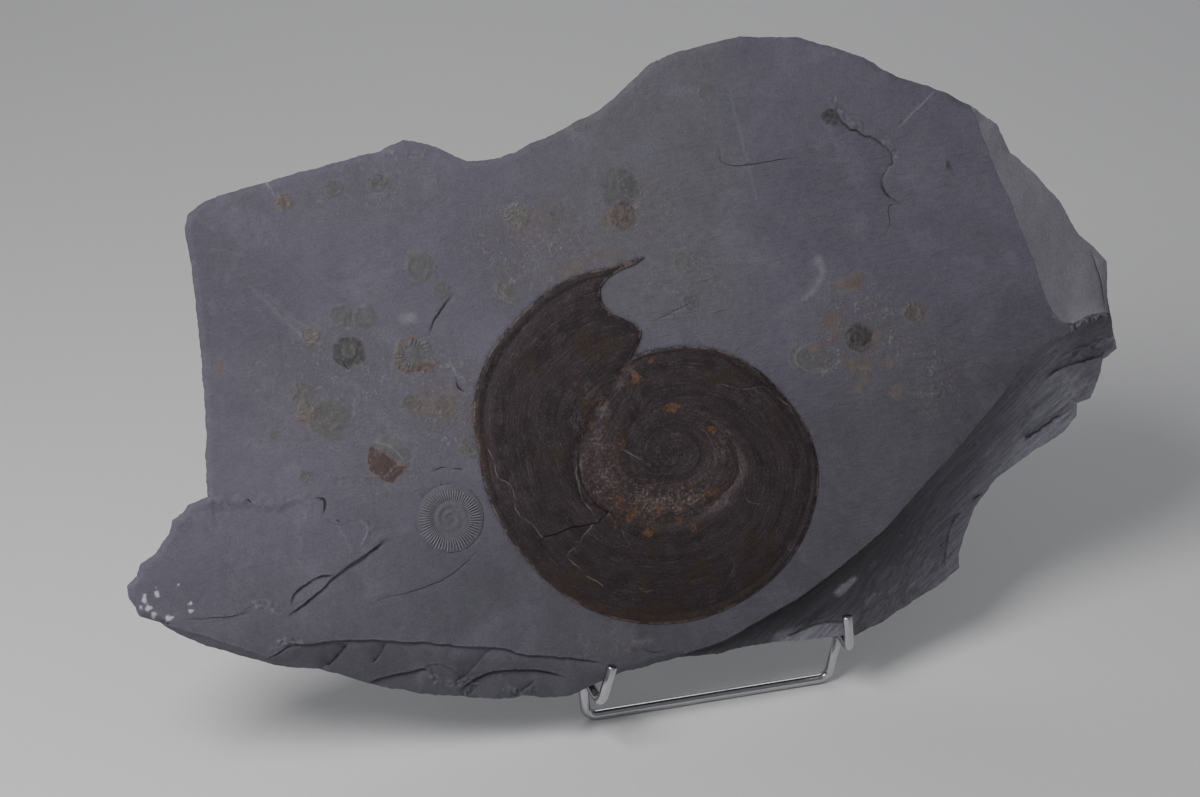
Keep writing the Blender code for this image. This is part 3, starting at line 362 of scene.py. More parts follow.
# Cracks through the shell: path, half width, paleness.
SHELL_CRACKS = [
    ([(-104, 17), (-101, 9), (-100, 0), (-95, -3), (-93, -8), (-93, -16), (-90, -23), (-85, -27),
      (-82, -32), (-79, -36)], 0.5, 0.9),
    ([(-104, 4), (-101, -6), (-96, -8)], 0.35, 0.5),
    ([(-40, -27), (-49, -31), (-56, -37), (-61, -43), (-66, -46)], 0.5, 0.9),
    ([(-65, -50), (-63, -53), (-57, -60), (-49, -67)], 0.55, 1),
    ([(-33, -35), (-34, -40), (-31, -46)], 0.35, 0.6),
    ([(-28, -71), (-24, -74), (-21, -74)], 0.6, 1),
    ([(39, 0), (39, -14), (40, -31), (47, -34)], 0.45, 0.7),
    ([(-46, 13), (-38, 11), (-28, 7), (-17, -1), (-14, -4)], 0.5, 0.9),
    ([(-47, -31), (-50, -25), (-54, -18), (-56, -6), (-55, 2)], 0.6, 1),
    ([(34, 36), (46, 31), (58, 32), (66, 24), (73, 18)], 0.45, 0.6),
    ([(42, 47), (50, 44), (57, 38)], 0.4, 0.5),
    ([(22, -58), (28, -66), (22, -78)], 0.35, 0.4),
    ([(-12, -66), (2, -72), (14, -70)], 0.3, 0.3),
    ([(60, -60), (64, -64), (66, -66)], 0.4, 0.6),
    ([(17, 14), (22, 8), (25, -2), (24, -10)], 0.4, 0.6),
]
# Dark open fissures in the shell: path, half width.
SHELL_FISSURES = [
    ([(-79, -36), (-73, -35), (-67, -34), (-61, -32), (-55, -32), (-47, -31), (-40, -27)], 0.5),
    ([(-40, -27), (-46, -22), (-52, -12), (-54, -2), (-53, 8)], 0.9),
    ([(-110, 5), (-108, -3), (-107, -10)], 0.6),
]
# Rusty spots on the shell: u, v, half width, half height, strength.
SHELL_RUST = [
    (3, 26, 7, 3.5, 1), (26, 11, 4, 5, 1), (10, -20, 5, 3, 0.7), (24, -24, 4, 3, 0.8),
    (-21, -33, 5, 3, 0.9), (3, -37, 5, 3, 0.9), (-5, 54, 4, 4, 0.9), (-17, 45, 6, 5, 1),
    (-34, -21, 5, 4, 0.9), (-28, 12, 5, 6, 0.7), (-8, -28, 14, 4, 0.7), (-42, 34, 12, 3, 0.55),
    (-18, -41, 6, 2.5, 0.9), (8, -42, 4, 2.5, 1), (-50, 46, 3, 3, 0.6), (-38, -32, 4, 4, 0.8),
    (-22, 50, 5, 5, 0.8), (-108, 20, 3, 30, 0.5), (-60, -88, 16, 5, 0.5),
    (-21, -74, 13, 8, 0.4), (10, -68, 12, 9, 0.4), (-18, -50, 10, 6, 0.4), (-70, 8, 9, 6, 0.4),
    (-40, 66, 16, 8, 0.35), (44, -60, 14, 12, 0.3), (-60, -62, 16, 8, 0.3), (40, 40, 18, 9, 0.25),
    (68, 10, 8, 14, 0.25), (-31, -27, 5, 3, 0.9), (-26, -31, 6, 3, 1), (-23, -24, 5, 3, 0.8),
    (-15, -22, 5, 3, 0.7), (-30, -19, 4, 3, 0.7), (-37, -22, 3, 6, 0.7), (18, -24, 6, 3, 0.9),
    (-44, 24, 3, 6, 0.7), (-19, -86, 26, 5, 0.35), (40, -78, 16, 6, 0.35), (-75, 60, 8, 12, 0.25),
]
# Creamy patches of crushed shell: u, v, half width, half height, strength.
SHELL_CREAMY = [
    (-8, -25, 12, 5, 1), (6, -28, 10, 4, 0.9), (-20, -19, 7, 4, 0.6), (-38, -8, 4, 9, 0.5),
    (-42, 14, 4, 8, 0.6), (-36, 32, 4, 8, 0.6), (-26, 44, 5, 5, 0.6), (-46, -18, 4, 6, 0.5),
    (20, -32, 10, 4, 0.5), (30, 2, 5, 8, 0.5), (-18, 50, 6, 4, 0.6), (-53, 2, 3, 10, 0.5),
    (-52, 26, 4, 10, 0.45), (-44, 42, 5, 7, 0.4),
]

# ---- the small ribbed ammonite ------------------------------------------------
RIBBED_CENTRE = (-129.5, -18.0)
RIBBED_RADIUS = 19.0
FINE_RIB_COUNT = 62
STEPS_PER_RIB = 8
# Share of the radius, height.
RIBBED_PROFILE = [
    (0.0, 0.5), (0.1, 0.3), (0.18, 0.55), (0.28, 0.35), (0.38, 0.6), (0.46, 0.4), (0.52, 0.35),
    (0.62, 0.75), (0.76, 0.8), (0.9, 0.4), (0.97, 0.12), (1.0, -0.06),
]

# ---- the stand -----------------------------------------------------------------
ROD_RADIUS = 3.0
FLAT_RADIUS = ROD_RADIUS * math.cos(math.pi / 12)      # the round rod fits in the solid one
BEND_RADIUS = 7.0
BEND_STEPS = 14
END_CHAMFER = 0.6
BEAD_RADIUS = 0.95
BEAD_STEPS = 8
ROD_SIDES = 36
FRONT_BAR_HALF = 73.6
LEFT_HOOK = (-74.0, -33.5)
RIGHT_HOOK = (78.2, -20.5)
LEFT_TIP = (-67.6, -33.5, 58.0)
RIGHT_TIP = (75.2, -20.5, 58.0)
LEFT_ARM_HEIGHT = 33.6
RIGHT_ARM_HEIGHT = 34.0
LEFT_POST_X = -76.6
RIGHT_POST_X = 79.6
POST_TOP_V = 70.0
BACKREST_BAR_V = 60.0
REAR_LEG_HALF = 58.0
REAR_LEG_SLOPE = math.radians(30.0)
POST_DEPTH = THICKNESS + GAP + ROD_RADIUS
UNDER_ARM = ROD_RADIUS + GAP


# ---- plane geometry on arrays of points --------------------------------------------
FAR = 1e9
TINY = 1e-9
LINE_SPACING = 1.7
OCTAVE_SCALE = 2.03                   # each octave of noise is this much finer than the one before
OCTAVE_SHIFT = 11.3                   # and is taken this far on in the noise
ROW_PITCH = 0.87
SHAKE_WAVES = ((12.9, 78.2), (39.3, 11.1))


def clamped(value):
    return np.clip(value, 0.0, 1.0)


def smoothstep(low, high, value):
    """0 below low, 1 above high and smooth between."""
    share = clamped((np.asarray(value, float) - low) / (high - low))
    return share * share * (3.0 - 2.0 * share)


def nearest_on_path(points, path, closed=False):
    """Each point's distance to the path, place on it as index plus share, and whether
    it lies on the right of the path there."""
    corners = np.array([corner[:2] for corner in path], float)
    starts = corners if closed else corners[:-1]
    ends = np.roll(corners, -1, axis=0) if closed else corners[1:]
    gap = np.full(len(points), FAR)
    place = np.zeros(len(points))
    right = np.zeros(len(points), bool)
    for index, (start, end) in enumerate(zip(starts, ends)):
        along = end - start
        out = points - start
        share = clamped(out @ along / (along @ along))
        out = out - share[:, None] * along
        here = np.hypot(out[:, 0], out[:, 1])
        nearer = here < gap
        gap = np.where(nearer, here, gap)
        place = np.where(nearer, index + share, place)
        right = np.where(nearer, along[0] * out[:, 1] - along[1] * out[:, 0] < 0.0, right)
    return gap, place, right


def loop_gap(points, loop):
    """Each point's distance to a closed path."""
    return nearest_on_path(points, loop, closed=True)[0]


def near_path(points, path, reach):
    """Indices of the points within reach of the path's box, and nearest_on_path for them."""
    corners = np.array([corner[:2] for corner in path], float)
    low = corners.min(axis=0) - reach
    high = corners.max(axis=0) + reach
    close = np.flatnonzero(np.all((points > low) & (points < high), axis=1))
    return close, nearest_on_path(points[close], path)


def inside(points, loop):
    corners = np.array([corner[:2] for corner in loop], float)
    result = np.zeros(len(points), bool)
    for (ax, ay), (bx, by) in zip(corners, np.roll(corners, -1, axis=0)):
        if ay == by:
            continue
        across = (ay > points[:, 1]) != (by > points[:, 1])
        result ^= across & (points[:, 0] < (bx - ax) * (points[:, 1] - ay) / (by - ay) + ax)
    return result


def noise_field(points, per_mm, seed, octaves=1):
    """Smooth noise over points, about -1 to 1, from coarse to fine by octaves."""
    total = np.zeros(len(points))
    strength = 1.0
    for octave in range(octaves):
        depth = seed + OCTAVE_SHIFT * octave
        total += strength * np.array([noise.noise((u, v, depth)) for u, v in (points * per_mm).tolist()])
        strength *= 0.5
        per_mm *= OCTAVE_SCALE
    return total


def offset_path(path, distance, closed=False):
    """The path moved to its right by the distance, with mitred corners."""
    moved = []
    count = len(path)
    for index, here in enumerate(path):
        before = path[index - 1] if closed or index else here
        after = path[(index + 1) % count] if closed or index < count - 1 else here
        normals = []
        for start, end in ((before, here), (here, after)):
            along = Vector((end[0] - start[0], end[1] - start[1]))
            if along.length > TINY:
                along.normalize()
                normals.append(Vector((along.y, -along.x)))
        normal = sum(normals, Vector((0.0, 0.0))).normalized()
        mitre = min(1.0 / max(normal.dot(normals[0]), 0.1), 1.6)
        moved.append((here[0] + normal.x * distance * mitre, here[1] + normal.y * distance * mitre))
    return moved


def divide_path(path, longest, closed=False):
    """The path with each stretch cut so that none is longer than asked."""
    result = []
    count = len(path)
    for index in range(count if closed else count - 1):
        start, end = path[index], path[(index + 1) % count]
        pieces = max(1, math.ceil(math.dist(start[:2], end[:2]) / longest))
        for step in range(pieces):
            share = step / pieces
            result.append(tuple(a + (b - a) * share for a, b in zip(start, end)))
    if not closed:
        result.append(path[-1])
    return result


def ragged(path, swing, spacing, seed, closed=False):
    """The path cut up finely, each point moved off it by noise."""
    cut = divide_path(path, spacing, closed)
    moved = []
    for index, here in enumerate(cut):
        before = cut[index - 1] if closed or index else here
        after = cut[(index + 1) % len(cut)] if closed or index < len(cut) - 1 else here
        along = Vector((after[0] - before[0], after[1] - before[1])).normalized()
        coarse = noise.noise((here[0] * 0.11, here[1] * 0.11, seed))
        fine = noise.noise((here[0] * 0.37, here[1] * 0.37, seed + 5.0))
        shift = swing * (coarse + 0.6 * fine)
        moved.append((here[0] + along.y * shift, here[1] - along.x * shift, *here[2:]))
    return moved


def curved(path):
    """The path as a smooth curve through its points."""
    knots = [Vector((*corner[:2], 0.0)) for corner in path]
    reach = [knots[0] * 2 - knots[1]] + knots + [knots[-1] * 2 - knots[-2]]
    result = []
    for before, start, end, after in zip(reach, reach[1:], reach[2:], reach[3:]):
        length = (end - start).length
        steps = max(1, round(length / LINE_SPACING))
        leaving = start + (end - before).normalized() * length / 3.0
        arriving = end - (after - start).normalized() * length / 3.0
        result += interpolate_bezier(start, leaving, arriving, end, steps + 1)[:-1]
    return [(p.x, p.y) for p in result + knots[-1:]]


def outline_between(first, last):
    """Outline points from the one nearest to first, clockwise to the one nearest to last."""
    start = min(range(len(OUTLINE_UV)), key=lambda i: math.dist(OUTLINE_UV[i], first))
    end = min(range(len(OUTLINE_UV)), key=lambda i: math.dist(OUTLINE_UV[i], last))
    points = [OUTLINE_UV[start]]
    while start != end:
        start = (start + 1) % len(OUTLINE_UV)
        points.append(OUTLINE_UV[start])
    return points


def triangulate(points, chains, boundary):
    """Triangles over the points, with the chains as edges, inside the boundary."""
    edges = [pair for chain in chains for pair in zip(chain, chain[1:])]
    flat = [Vector((p[0], p[1])) for p in points]
    verts, _, faces, origin, _, _ = delaunay_2d_cdt(flat, edges, [boundary], 1, 1e-4)
    found = {}
    for new, olds in enumerate(origin):
        for old in olds:
            found[old] = new
    return np.array([(p.x, p.y) for p in verts]), faces, found


class PointField:
    """Points and chains that a surface's triangles are to pass through."""

    def __init__(self):
        self.points = []
        self.chains = []

    def add(self, points):
        self.points.extend((float(p[0]), float(p[1])) for p in points)

    def add_chain(self, path, closed=False):
        first = len(self.points)
        self.add(path)
        chain = list(range(first, len(self.points)))
        self.chains.append(chain + [first] if closed else chain)


def staggered(low_u, high_u, low_v, high_v, spacing, shake=0.22):
    """A staggered, slightly shaken field of points over a rectangle."""
    rows = []
    row = 0
    v = low_v
    while v < high_v:
        u = np.arange(low_u + (row % 2) * spacing * 0.5, high_u, spacing)
        rows.append(np.column_stack((u, np.full(len(u), v))))
        v += spacing * ROW_PITCH
        row += 1
    points = np.concatenate(rows)
    shaken = np.column_stack([np.sin(points[:, 0] * by_u + points[:, 1] * by_v)
                              for by_u, by_v in SHAKE_WAVES])
    return points + shaken * spacing * shake


def spot_reach(points, u, v, half_u=1.0, half_v=1.0):
    """How far out in an oval each point lies: 0 in its middle, 1 on its edge."""
    return np.hypot((points[:, 0] - u) / half_u, (points[:, 1] - v) / half_v)


def raise_to(field, close, values):
    """Lifts a field to the values at the points with the indices in close."""
    field[close] = np.maximum(field[close], values)


# ---- meshes ------------------------------------------------------------------------
SLAB_U = np.array((1.0, 0.0, 0.0))
SLAB_V = np.array((0.0, math.sin(LEAN), math.cos(LEAN)))
SLAB_W = np.array((0.0, -math.cos(LEAN), math.sin(LEAN)))


def to_world(points):
    """Slab frame millimetres to metres in the model's frame."""
    origin = np.array(STAND_ORIGIN + COIL_CENTRE)
    spread = points[:, :1] * SLAB_U + points[:, 1:2] * SLAB_V + points[:, 2:] * SLAB_W
    return (origin + spread) * METRES


def slab_places(points, depth):
    """Slab frame positions of points of the face or outline at their depths."""
    return np.column_stack((points + depth[:, None] * SIDE_RUN, -depth))


def bridge(rings, flip=False):
    """Four sided faces from each ring of point numbers to the next."""
    faces = []
    for first, second in zip(rings, rings[1:]):
        for index in range(len(first)):
            after = (index + 1) % len(first)
            face = (first[index], first[after], second[after], second[index])
            faces.append(face[:1] + face[:0:-1] if flip else face)
    return faces


def numbered_rings(count, length):
    """Rings of point numbers, counted on from ring to ring."""
    return [range(ring * length, (ring + 1) * length) for ring in range(count)]


def make_piece(name, places, faces, finish, nodes, sharp=40.0, fields=None):
    """A smooth shaded piece from places in metres. Fields are values at its points."""
    mesh = bpy.data.meshes.new(name)
    mesh.from_pydata([tuple(p) for p in places], [], faces)
    mesh.update()
    mesh.shade_smooth()
    mesh.set_sharp_from_angle(angle=math.radians(sharp))
    for field, values in (fields or {}).items():
        layer = mesh.attributes.new(field, "FLOAT", "POINT")
        layer.data.foreach_set("value", np.asarray(values, np.float32))
    mesh.materials.append(finish)
    piece = bpy.data.objects.new(name, mesh)
    bpy.context.scene.collection.objects.link(piece)
    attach(piece, "root")
    if nodes:
        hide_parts(*nodes)
    return piece


# ---- the slab's front ----------------------------------------------------------------
OUTSIDE = 3.0                         # regions reach this far past the outline


def region_loop(edge):
    """The ground between an edge on the face and the outline on its lower or right side."""
    outer = offset_path(outline_between(edge[0], edge[-1]), -OUTSIDE)
    return list(edge) + outer[::-1]


CHIP_LINE = ragged(curved(CHIP_EDGE), 0.5, LINE_SPACING, 71.0)
FLANK_LINE = ragged(curved(FLANK_EDGE), 0.3, LINE_SPACING, 73.0)
APRON_LINE = ragged(curved(APRON_EDGE), 0.6, LINE_SPACING, 75.0)
CHIP_LOOP = region_loop(CHIP_LINE)
FLANK_LOOP = region_loop(FLANK_LINE)
APRON_LOOP = APRON_LINE + offset_path(outline_between(APRON_EDGE[-1], (-293, -53)), -OUTSIDE)
RIM_LEAST_U = -308.6                  # keeps the left tip inside the CAD box


def ragged_rows(table, seed, seed_step, swing=None):
    """A table's rows by name, with their paths as ragged curves.

    The swing is the same for all, or else it is taken out of each row, from behind
    its drop and reach.
    """
    rows = {}
    for index, (name, (path, *values)) in enumerate(table.items()):
        own = values.pop(2) if swing is None else swing
        rows[name] = (ragged(curved(path), own, LINE_SPACING, seed + seed_step * index), *values)
    return rows


RAGGED_LEDGES = ragged_rows(LEDGES, 2.0, 3.1)
RAGGED_LAYERS = ragged_rows(FLANK_LAYERS, 61.0, 3.1)
RAGGED_CRACKS = list(ragged_rows(FACE_CRACKS, 31.0, 2.3, swing=0.5).values())
RAGGED_PALE = list(ragged_rows(PALE_LINES, 47.0, 2.3, swing=0.4).values())
RAGGED_CRUMBLES = list(ragged_rows(CRUMBLES, 91.0, 2.3, swing=1.0).values())
RIM_LOOP = [(max(u, RIM_LEAST_U), v, drop)
            for u, v, drop in ragged(OUTLINE, 0.75, 1.9, 19.0, closed=True)]


def blended_drop(points):
    """The drops at the outline, blended smoothly over the ground inside it."""
    cut = np.array(divide_path(OUTLINE, 6.0, closed=True))
    away = (points[:, :1] - cut[:, 0]) ** 2 + (points[:, 1:2] - cut[:, 1]) ** 2
    weight = 1.0 / (away + 20.0) ** 2
    return weight @ cut[:, 2] / weight.sum(axis=1)


def unevenness_of(points):
    """The face's gentle dips, as depth."""
    return np.maximum(0.35 * noise_field(points, 0.02, 3.7), 0.0)


def step_drop(points, steps):
    """Drop of the ground by a set of ledges, and at each point the strength of the painted shadow at a foot
    and of the painted highlight on a crest.
    """
    drop, foot, crest = np.zeros((3, len(points)))
    for name, (path, height, reach, shade) in steps.items():
        run = SOFT_LEDGES.get(name, LEDGE_RUN)
        close, (gap, place, right) = near_path(points, path, reach * 4.0)
        along = place / (len(path) - 1)
        fade = 0.12 + 0.4 * np.minimum(gap / reach, 1.0)
        taper = smoothstep(0.0, fade, along) * smoothstep(0.0, fade, 1.0 - along)
        fall = smoothstep(0.0, run * 0.9, gap) * np.exp(-gap / reach)
        drop[close] += np.where(right, height * taper * fall, 0.0)
        broken = 0.75 + 0.6 * noise_field(points[close], 0.09, height * 9.0 + 40.0, octaves=2)
        foot_shadow = shade * taper * clamped(broken)
        foot_shadow *= 1.0 - smoothstep(0.2, 1.0, np.abs(gap - LEDGE_RUN * 0.8))
        raise_to(foot, close, np.where(right, foot_shadow, 0.0))
        crest_highlight = taper * (1.0 - smoothstep(0.0, 1.1, gap))
        raise_to(crest, close, np.where(right, 0.0, crest_highlight))
    return drop, foot, crest


def fossil_wave(kind, near, turn):
    """Relief of a small fossil's surface: coiled whorls or ribs, 0 to 1."""
    if kind == "coil":
        coil = 0.5 + 0.5 * np.cos(math.tau * (2.4 * near ** 0.8 - turn))
        ribs = 0.5 + 0.5 * np.cos(math.tau * 24.0 * turn + 4.0 * near)
        return clamped(coil * (0.6 + 0.4 * ribs * smoothstep(0.35, 0.6, near)))
    if kind == "eye":
        lines = 0.5 + 0.5 * np.cos(math.tau * 3.2 * near)
        return np.where(near < 0.42, 0.8 + 0.2 * lines, 0.35 * lines * smoothstep(0.7, 0.9, near))
    if kind in ("ribs", "ring"):
        ribs = 0.5 + 0.5 * np.cos(math.tau * 20.0 * turn + 5.0 * near)
        return np.where(near < 0.3, 0.4, ribs * smoothstep(0.3, 0.5, near) + 0.2)
    if kind == "arc":
        return np.exp(-((near - 0.6) / 0.09) ** 2) + np.exp(-((near - 0.85) / 0.07) ** 2)
    return np.full(len(near), 0.6)


def toward(out, degrees):
    """1 on the side of a small fossil that faces the way given, 0 on the other."""
    way = math.radians(degrees)
    facing = out @ (math.cos(way), math.sin(way)) / np.maximum(np.hypot(out[:, 0], out[:, 1]), 0.1)
    return smoothstep(0.1, 0.6, facing)


def add_small_fossils(points, fields):
    """Adds the small fossils' relief and colours to the fields."""
    for index, (kind, u, v, radius, relief, rust, cream, dark) in enumerate(SMALL_FOSSILS):
        close = np.flatnonzero(spot_reach(points, u, v) < radius * 1.3)
        seed = 1.7 * index
        out = points[close] - (u, v)
        swing = 0.4 if kind == "ring" else 0.25
        edge = 1.0 + swing * noise_field(points[close], 1.1 / radius, seed)
        near = spot_reach(out, 0.0, 0.0) / (radius * edge)
        bent = 0.07 * noise_field(points[close], 1.6 / radius, seed + 9.0)
        turn = np.arctan2(out[:, 1], out[:, 0]) / math.tau + index * 0.37 + bent
        body = 1.0 - smoothstep(0.88, 1.0, near)
        rusty = creamy = body
        if kind == "half":
            rusty = 1.3 * body * smoothstep(-2.5, 0.5, -(out @ (0.62, 0.78)))
            creamy = body * smoothstep(-1.0, 1.5, out @ (-0.5, 0.87) - 2.0) * smoothstep(0.3, 0.6, near)
        elif kind == "ring":
            inner = 0.45 + 0.3 * noise_field(points[close], 2.5 / radius, seed + 3.0)
            rim = smoothstep(inner, inner + 0.2, near)
            rusty = body * rim * np.maximum(0.6 * toward(out, 130.0), toward(out, 265.0))
            creamy = body * rim * np.maximum(toward(out, 5.0), 0.35 * toward(out, 150.0))
        elif kind == "arc":
            body = rusty = creamy = body * toward(out, 205.0)
        wave = fossil_wave(kind, near, turn)
        worn = np.clip(0.6 + 1.3 * noise_field(points[close], 2.2 / radius, seed + 5.0), 0.05, 1.0)
        speckle = noise_field(points[close], 0.45, seed + 7.0, octaves=2)
        fields["rise"][close] += relief * body * (0.1 + 0.9 * wave * worn + 0.25 * speckle)
        raise_to(fields["rust"], close, rust * rusty * np.clip(0.8 + 0.7 * speckle, 0.1, 1.0))
        pale = cream * creamy * wave * worn * clamped(0.75 + speckle)
        lip = np.exp(-((near - 0.93) / 0.07) ** 2) * clamped(0.3 + 1.6 * bent / 0.07)
        raise_to(fields["cream"], close, np.maximum(pale, 0.55 * cream ** 0.5 * lip))
        shade = dark * body * (1.0 - 0.7 * wave * worn) * np.clip(0.8 + 0.8 * speckle, 0.0, 1.2)
        raise_to(fields["dark"], close, shade)
        raise_to(fields["olive"], close, body * clamped(0.8 + speckle))


def add_stains(points, fields):
    """Adds the stains, the beds crowded with shell and the dabs of paint to the fields."""
    for u, v, half_u, half_v, rust, cream in STAINS:
        reach = spot_reach(points, u, v, half_u, half_v)
        close = np.flatnonzero(reach < 1.6)
        broken = noise_field(points[close], 0.13, 5.0 + u * 0.03, octaves=3)
        body = smoothstep(0.0, 0.5, 1.0 - reach[close] + 0.75 * broken)
        speck = smoothstep(0.05, 0.5, noise_field(points[close], 0.34, 8.0 + v * 0.03, octaves=2))
        raise_to(fields["rust"], close, rust * body)
        raise_to(fields["cream"], close, cream * body * speck)
    for u, v, half_u, half_v, strength in SHELL_BEDS:
        bed = strength * (1.0 - smoothstep(0.35, 1.0, spot_reach(points, u, v, half_u, half_v)))
        fields["shells"] = np.maximum(fields["shells"], bed)
    for u, v, half_u, half_v in PAINT_DABS:
        close = np.flatnonzero(spot_reach(points, u, v) < 6.0)
        reach = spot_reach(points[close], u, v, half_u, half_v)
        reach *= 1.0 + 0.7 * noise_field(points[close], 0.5, 3.0)
        raise_to(fields["paint"], close, 1.0 - smoothstep(0.7, 1.1, reach))


def add_crumbles(points, depth, fields):
    """Roughens the crumbly edges, with pale crumbs and painted shade in the pits between them."""
    for path, half, rough in RAGGED_CRUMBLES:
        close, (gap, place, _) = near_path(points, path, half)
        along = place / (len(path) - 1)
        body = 1.0 - smoothstep(0.35, 1.0, gap / half)
        body *= smoothstep(0.0, 0.1, along * (1.0 - along) * 4.0)
        lumps = noise_field(points[close], 0.8 / half ** 0.5, half * 7.0, octaves=3)
        depth[close] -= rough * body * lumps
        raise_to(fields["pale"], close, min(1.5 * rough, 1.0) * body * clamped(1.3 * lumps))
        raise_to(fields["crack"], close, rough * body * clamped(-1.5 * lumps - 0.35))


def add_flank_chips(points, depth, fields):
    """Presses the chips into the hollow break, with painted shade on their upper side and a painted
    highlight on their lower side.
    """
    for u, v, half_long, half_wide in FLANK_CHIPS:
        out = points - (u, v)
        along = (out @ (math.cos(FLANK_RUN), math.sin(FLANK_RUN))) / half_long
        across = (out @ (-math.sin(FLANK_RUN), math.cos(FLANK_RUN))) / half_wide
        reach = np.hypot(along, across)
        close = np.flatnonzero(reach < 1.3)
        swirl = 0.3 * noise_field(points[close], 0.5, u * 0.1)
        body = 1.0 - smoothstep(0.6, 1.0, reach[close] + swirl)
        depth[close] += 0.7 * body
        upper = smoothstep(-0.2, 0.6, across[close])
        raise_to(fields["crack"], close, 0.7 * body * upper)
        raise_to(fields["pale"], close, 0.45 * body * (1.0 - upper))


def add_lines(points, depth, fields):
    """Cuts the open cracks and raises the pale lines."""
    for path, half, deep in RAGGED_CRACKS:
        close, (gap, along, _) = near_path(points, path, 4.0)
        along = along / (len(path) - 1)
        taper = smoothstep(-0.02, 0.35, along) * smoothstep(-0.02, 0.35, 1.0 - along)
        line = clamped(1.0 - gap / (half * (0.35 + 0.65 * taper))) * (0.3 + 0.7 * taper)
        depth[close] += deep * line
        raise_to(fields["crack"], close, line)
    for path, first, last, strength in RAGGED_PALE:
        close, (gap, along, _) = near_path(points, path, 5.0)
        half = first + (last - first) * along / (len(path) - 1)
        broken = 0.8 + 0.7 * noise_field(points[close], 0.2, first + 44.0, octaves=2)
        line = clamped(2.0 - 1.6 * gap / half) * np.clip(broken, 0.2, 1.0) * strength
        depth[close] -= 0.3 * line
        raise_to(fields["pale"], close, line)


def hollow_depth(points, across, drop, ground):
    """Depth of the hollow break: across runs from its front edge, 0, to the rim, 1."""
    hollow = drop * (1.0 - (1.0 - across) ** HOLLOW_POWER) + ground * (1.0 - across) ** 2
    hollow += 0.8 * noise_field(points, 0.03, 9.1) * np.sin(math.pi * across)
    grooves = points @ np.array(((math.cos(FLANK_RUN) * 0.03, -math.sin(FLANK_RUN) * 0.22),
                                 (math.sin(FLANK_RUN) * 0.03, math.cos(FLANK_RUN) * 0.22)))
    hollow += 0.5 * noise_field(grooves, 1.0, 27.0, octaves=3) * smoothstep(0.0, 0.3, across)
    layer = hollow / 2.1 + 1.1 * noise_field(points, 0.045, 12.5)
    part = layer - np.floor(layer)
    strength = smoothstep(0.05, 0.3, across) * (1.0 - smoothstep(0.9, 1.0, across))
    strength *= clamped(0.35 + 1.3 * noise_field(points, 0.03, 18.5))
    return hollow - 0.6 * (part - smoothstep(0.55, 1.0, part)) * strength


def share_across(gap, edge_gap):
    """0 on a region's inner edge and 1 on the rim, from the distances to both."""
    return gap / (gap + edge_gap + 1e-6)


FRONT_FIELDS = ("rise", "rust", "cream", "dark", "olive", "shells", "paint", "crack", "pale")


def front_fields(points):
    """Depth of the slab's front below its face, and the colour fields over it."""
    edge_gap = loop_gap(points, RIM_LOOP)
    drop = blended_drop(points)
    fields = {name: np.zeros(len(points)) for name in FRONT_FIELDS}
    flank_gap, chip_gap, apron_gap = (nearest_on_path(points, line)[0]
                                      for line in (FLANK_LINE, CHIP_LINE, APRON_LINE))
    in_flank = inside(points, FLANK_LOOP)
    in_chip = inside(points, CHIP_LOOP) & ~in_flank
    in_apron = inside(points, APRON_LOOP) & ~in_flank
    on_face = ~in_flank & ~in_chip

    # the face with its ledges and rim, and the ground that falls away below it
    unevenness = unevenness_of(points)
    ledges, foot, crest = step_drop(points, RAGGED_LEDGES)
    rim = (1.0 - smoothstep(0.0, RIM_WIDTH, edge_gap)) * ~in_apron
    rim_chips = 0.5 * np.maximum(noise_field(points, 0.12, 14.0, octaves=2), 0.0)
    ground = np.maximum(unevenness, ledges)
    face = ground * (1.0 - rim) + (drop + rim_chips) * rim
    across = share_across(apron_gap, edge_gap)
    facets = 1.8 * noise_field(points, 0.035, 52.0) * np.sin(math.pi * across)
    fallen = np.maximum(drop - LEDGE_SHARE, 0.5) * across ** APRON_POWER
    face = np.where(in_apron, face + fallen + facets, face)

    across = share_across(flank_gap, edge_gap)
    layers, layer_foot_shadow, layer_crest_highlight = step_drop(points, RAGGED_LAYERS)
    hollow = hollow_depth(points, across, drop, ground)
    hollow += layers * (1.0 - smoothstep(0.97, 1.0, across))

    chip_across = share_across(chip_gap, edge_gap)
    chipped = ground * (1.0 - chip_across) + (drop + unevenness) * chip_across
    chipped += 0.5 * noise_field(points, 0.07, 16.0, octaves=3) * np.sin(math.pi * chip_across)

    depth = np.where(in_flank, hollow, np.where(in_chip, chipped, face))
    # Painted shadow at the feet of ledges and layers goes into crack, and painted highlight on their crests
    # into pale.
    fields["crack"] = np.where(on_face, foot, 0.0) + np.where(in_flank, layer_foot_shadow, 0.0)
    fields["pale"] = 0.22 * np.where(on_face, crest, 0.0) + 0.35 * np.where(in_flank, layer_crest_highlight, 0.0)
    fields["chip"] = np.clip(np.where(in_chip, chip_gap, -chip_gap), -3.0, 3.0)
    fields["flank"] = np.clip(np.where(in_flank, flank_gap, -flank_gap), -3.0, 3.0)
    # steep sets the painted shade in the hollow break, strongest at its front edge.
    fields["steep"] = np.where(in_flank, np.clip(1.0 - across, 0.0, 0.98), 0.0)
    # Painted shade on the ground that falls away under the long ledge, faded out towards the left tip.
    fields["apron"] = np.where(in_apron, smoothstep(0.0, 6.0, apron_gap), 0.0)
    fields["apron"] *= smoothstep(-245.0, -215.0, points[:, 0])

    add_lines(points, depth, fields)
    add_small_fossils(points, fields)
    add_stains(points, fields)
    add_crumbles(points, depth, fields)
    add_flank_chips(points, depth, fields)
    grain = 0.07 * noise_field(points, 0.16, 21.0, octaves=3)
    broken = smoothstep(0.0, 2.5, ledges)
    depth += grain * (1.0 + 1.5 * in_flank + 1.5 * in_chip + broken) * (1.0 - rim)
    depth -= fields.pop("rise") * on_face
    return depth, fields


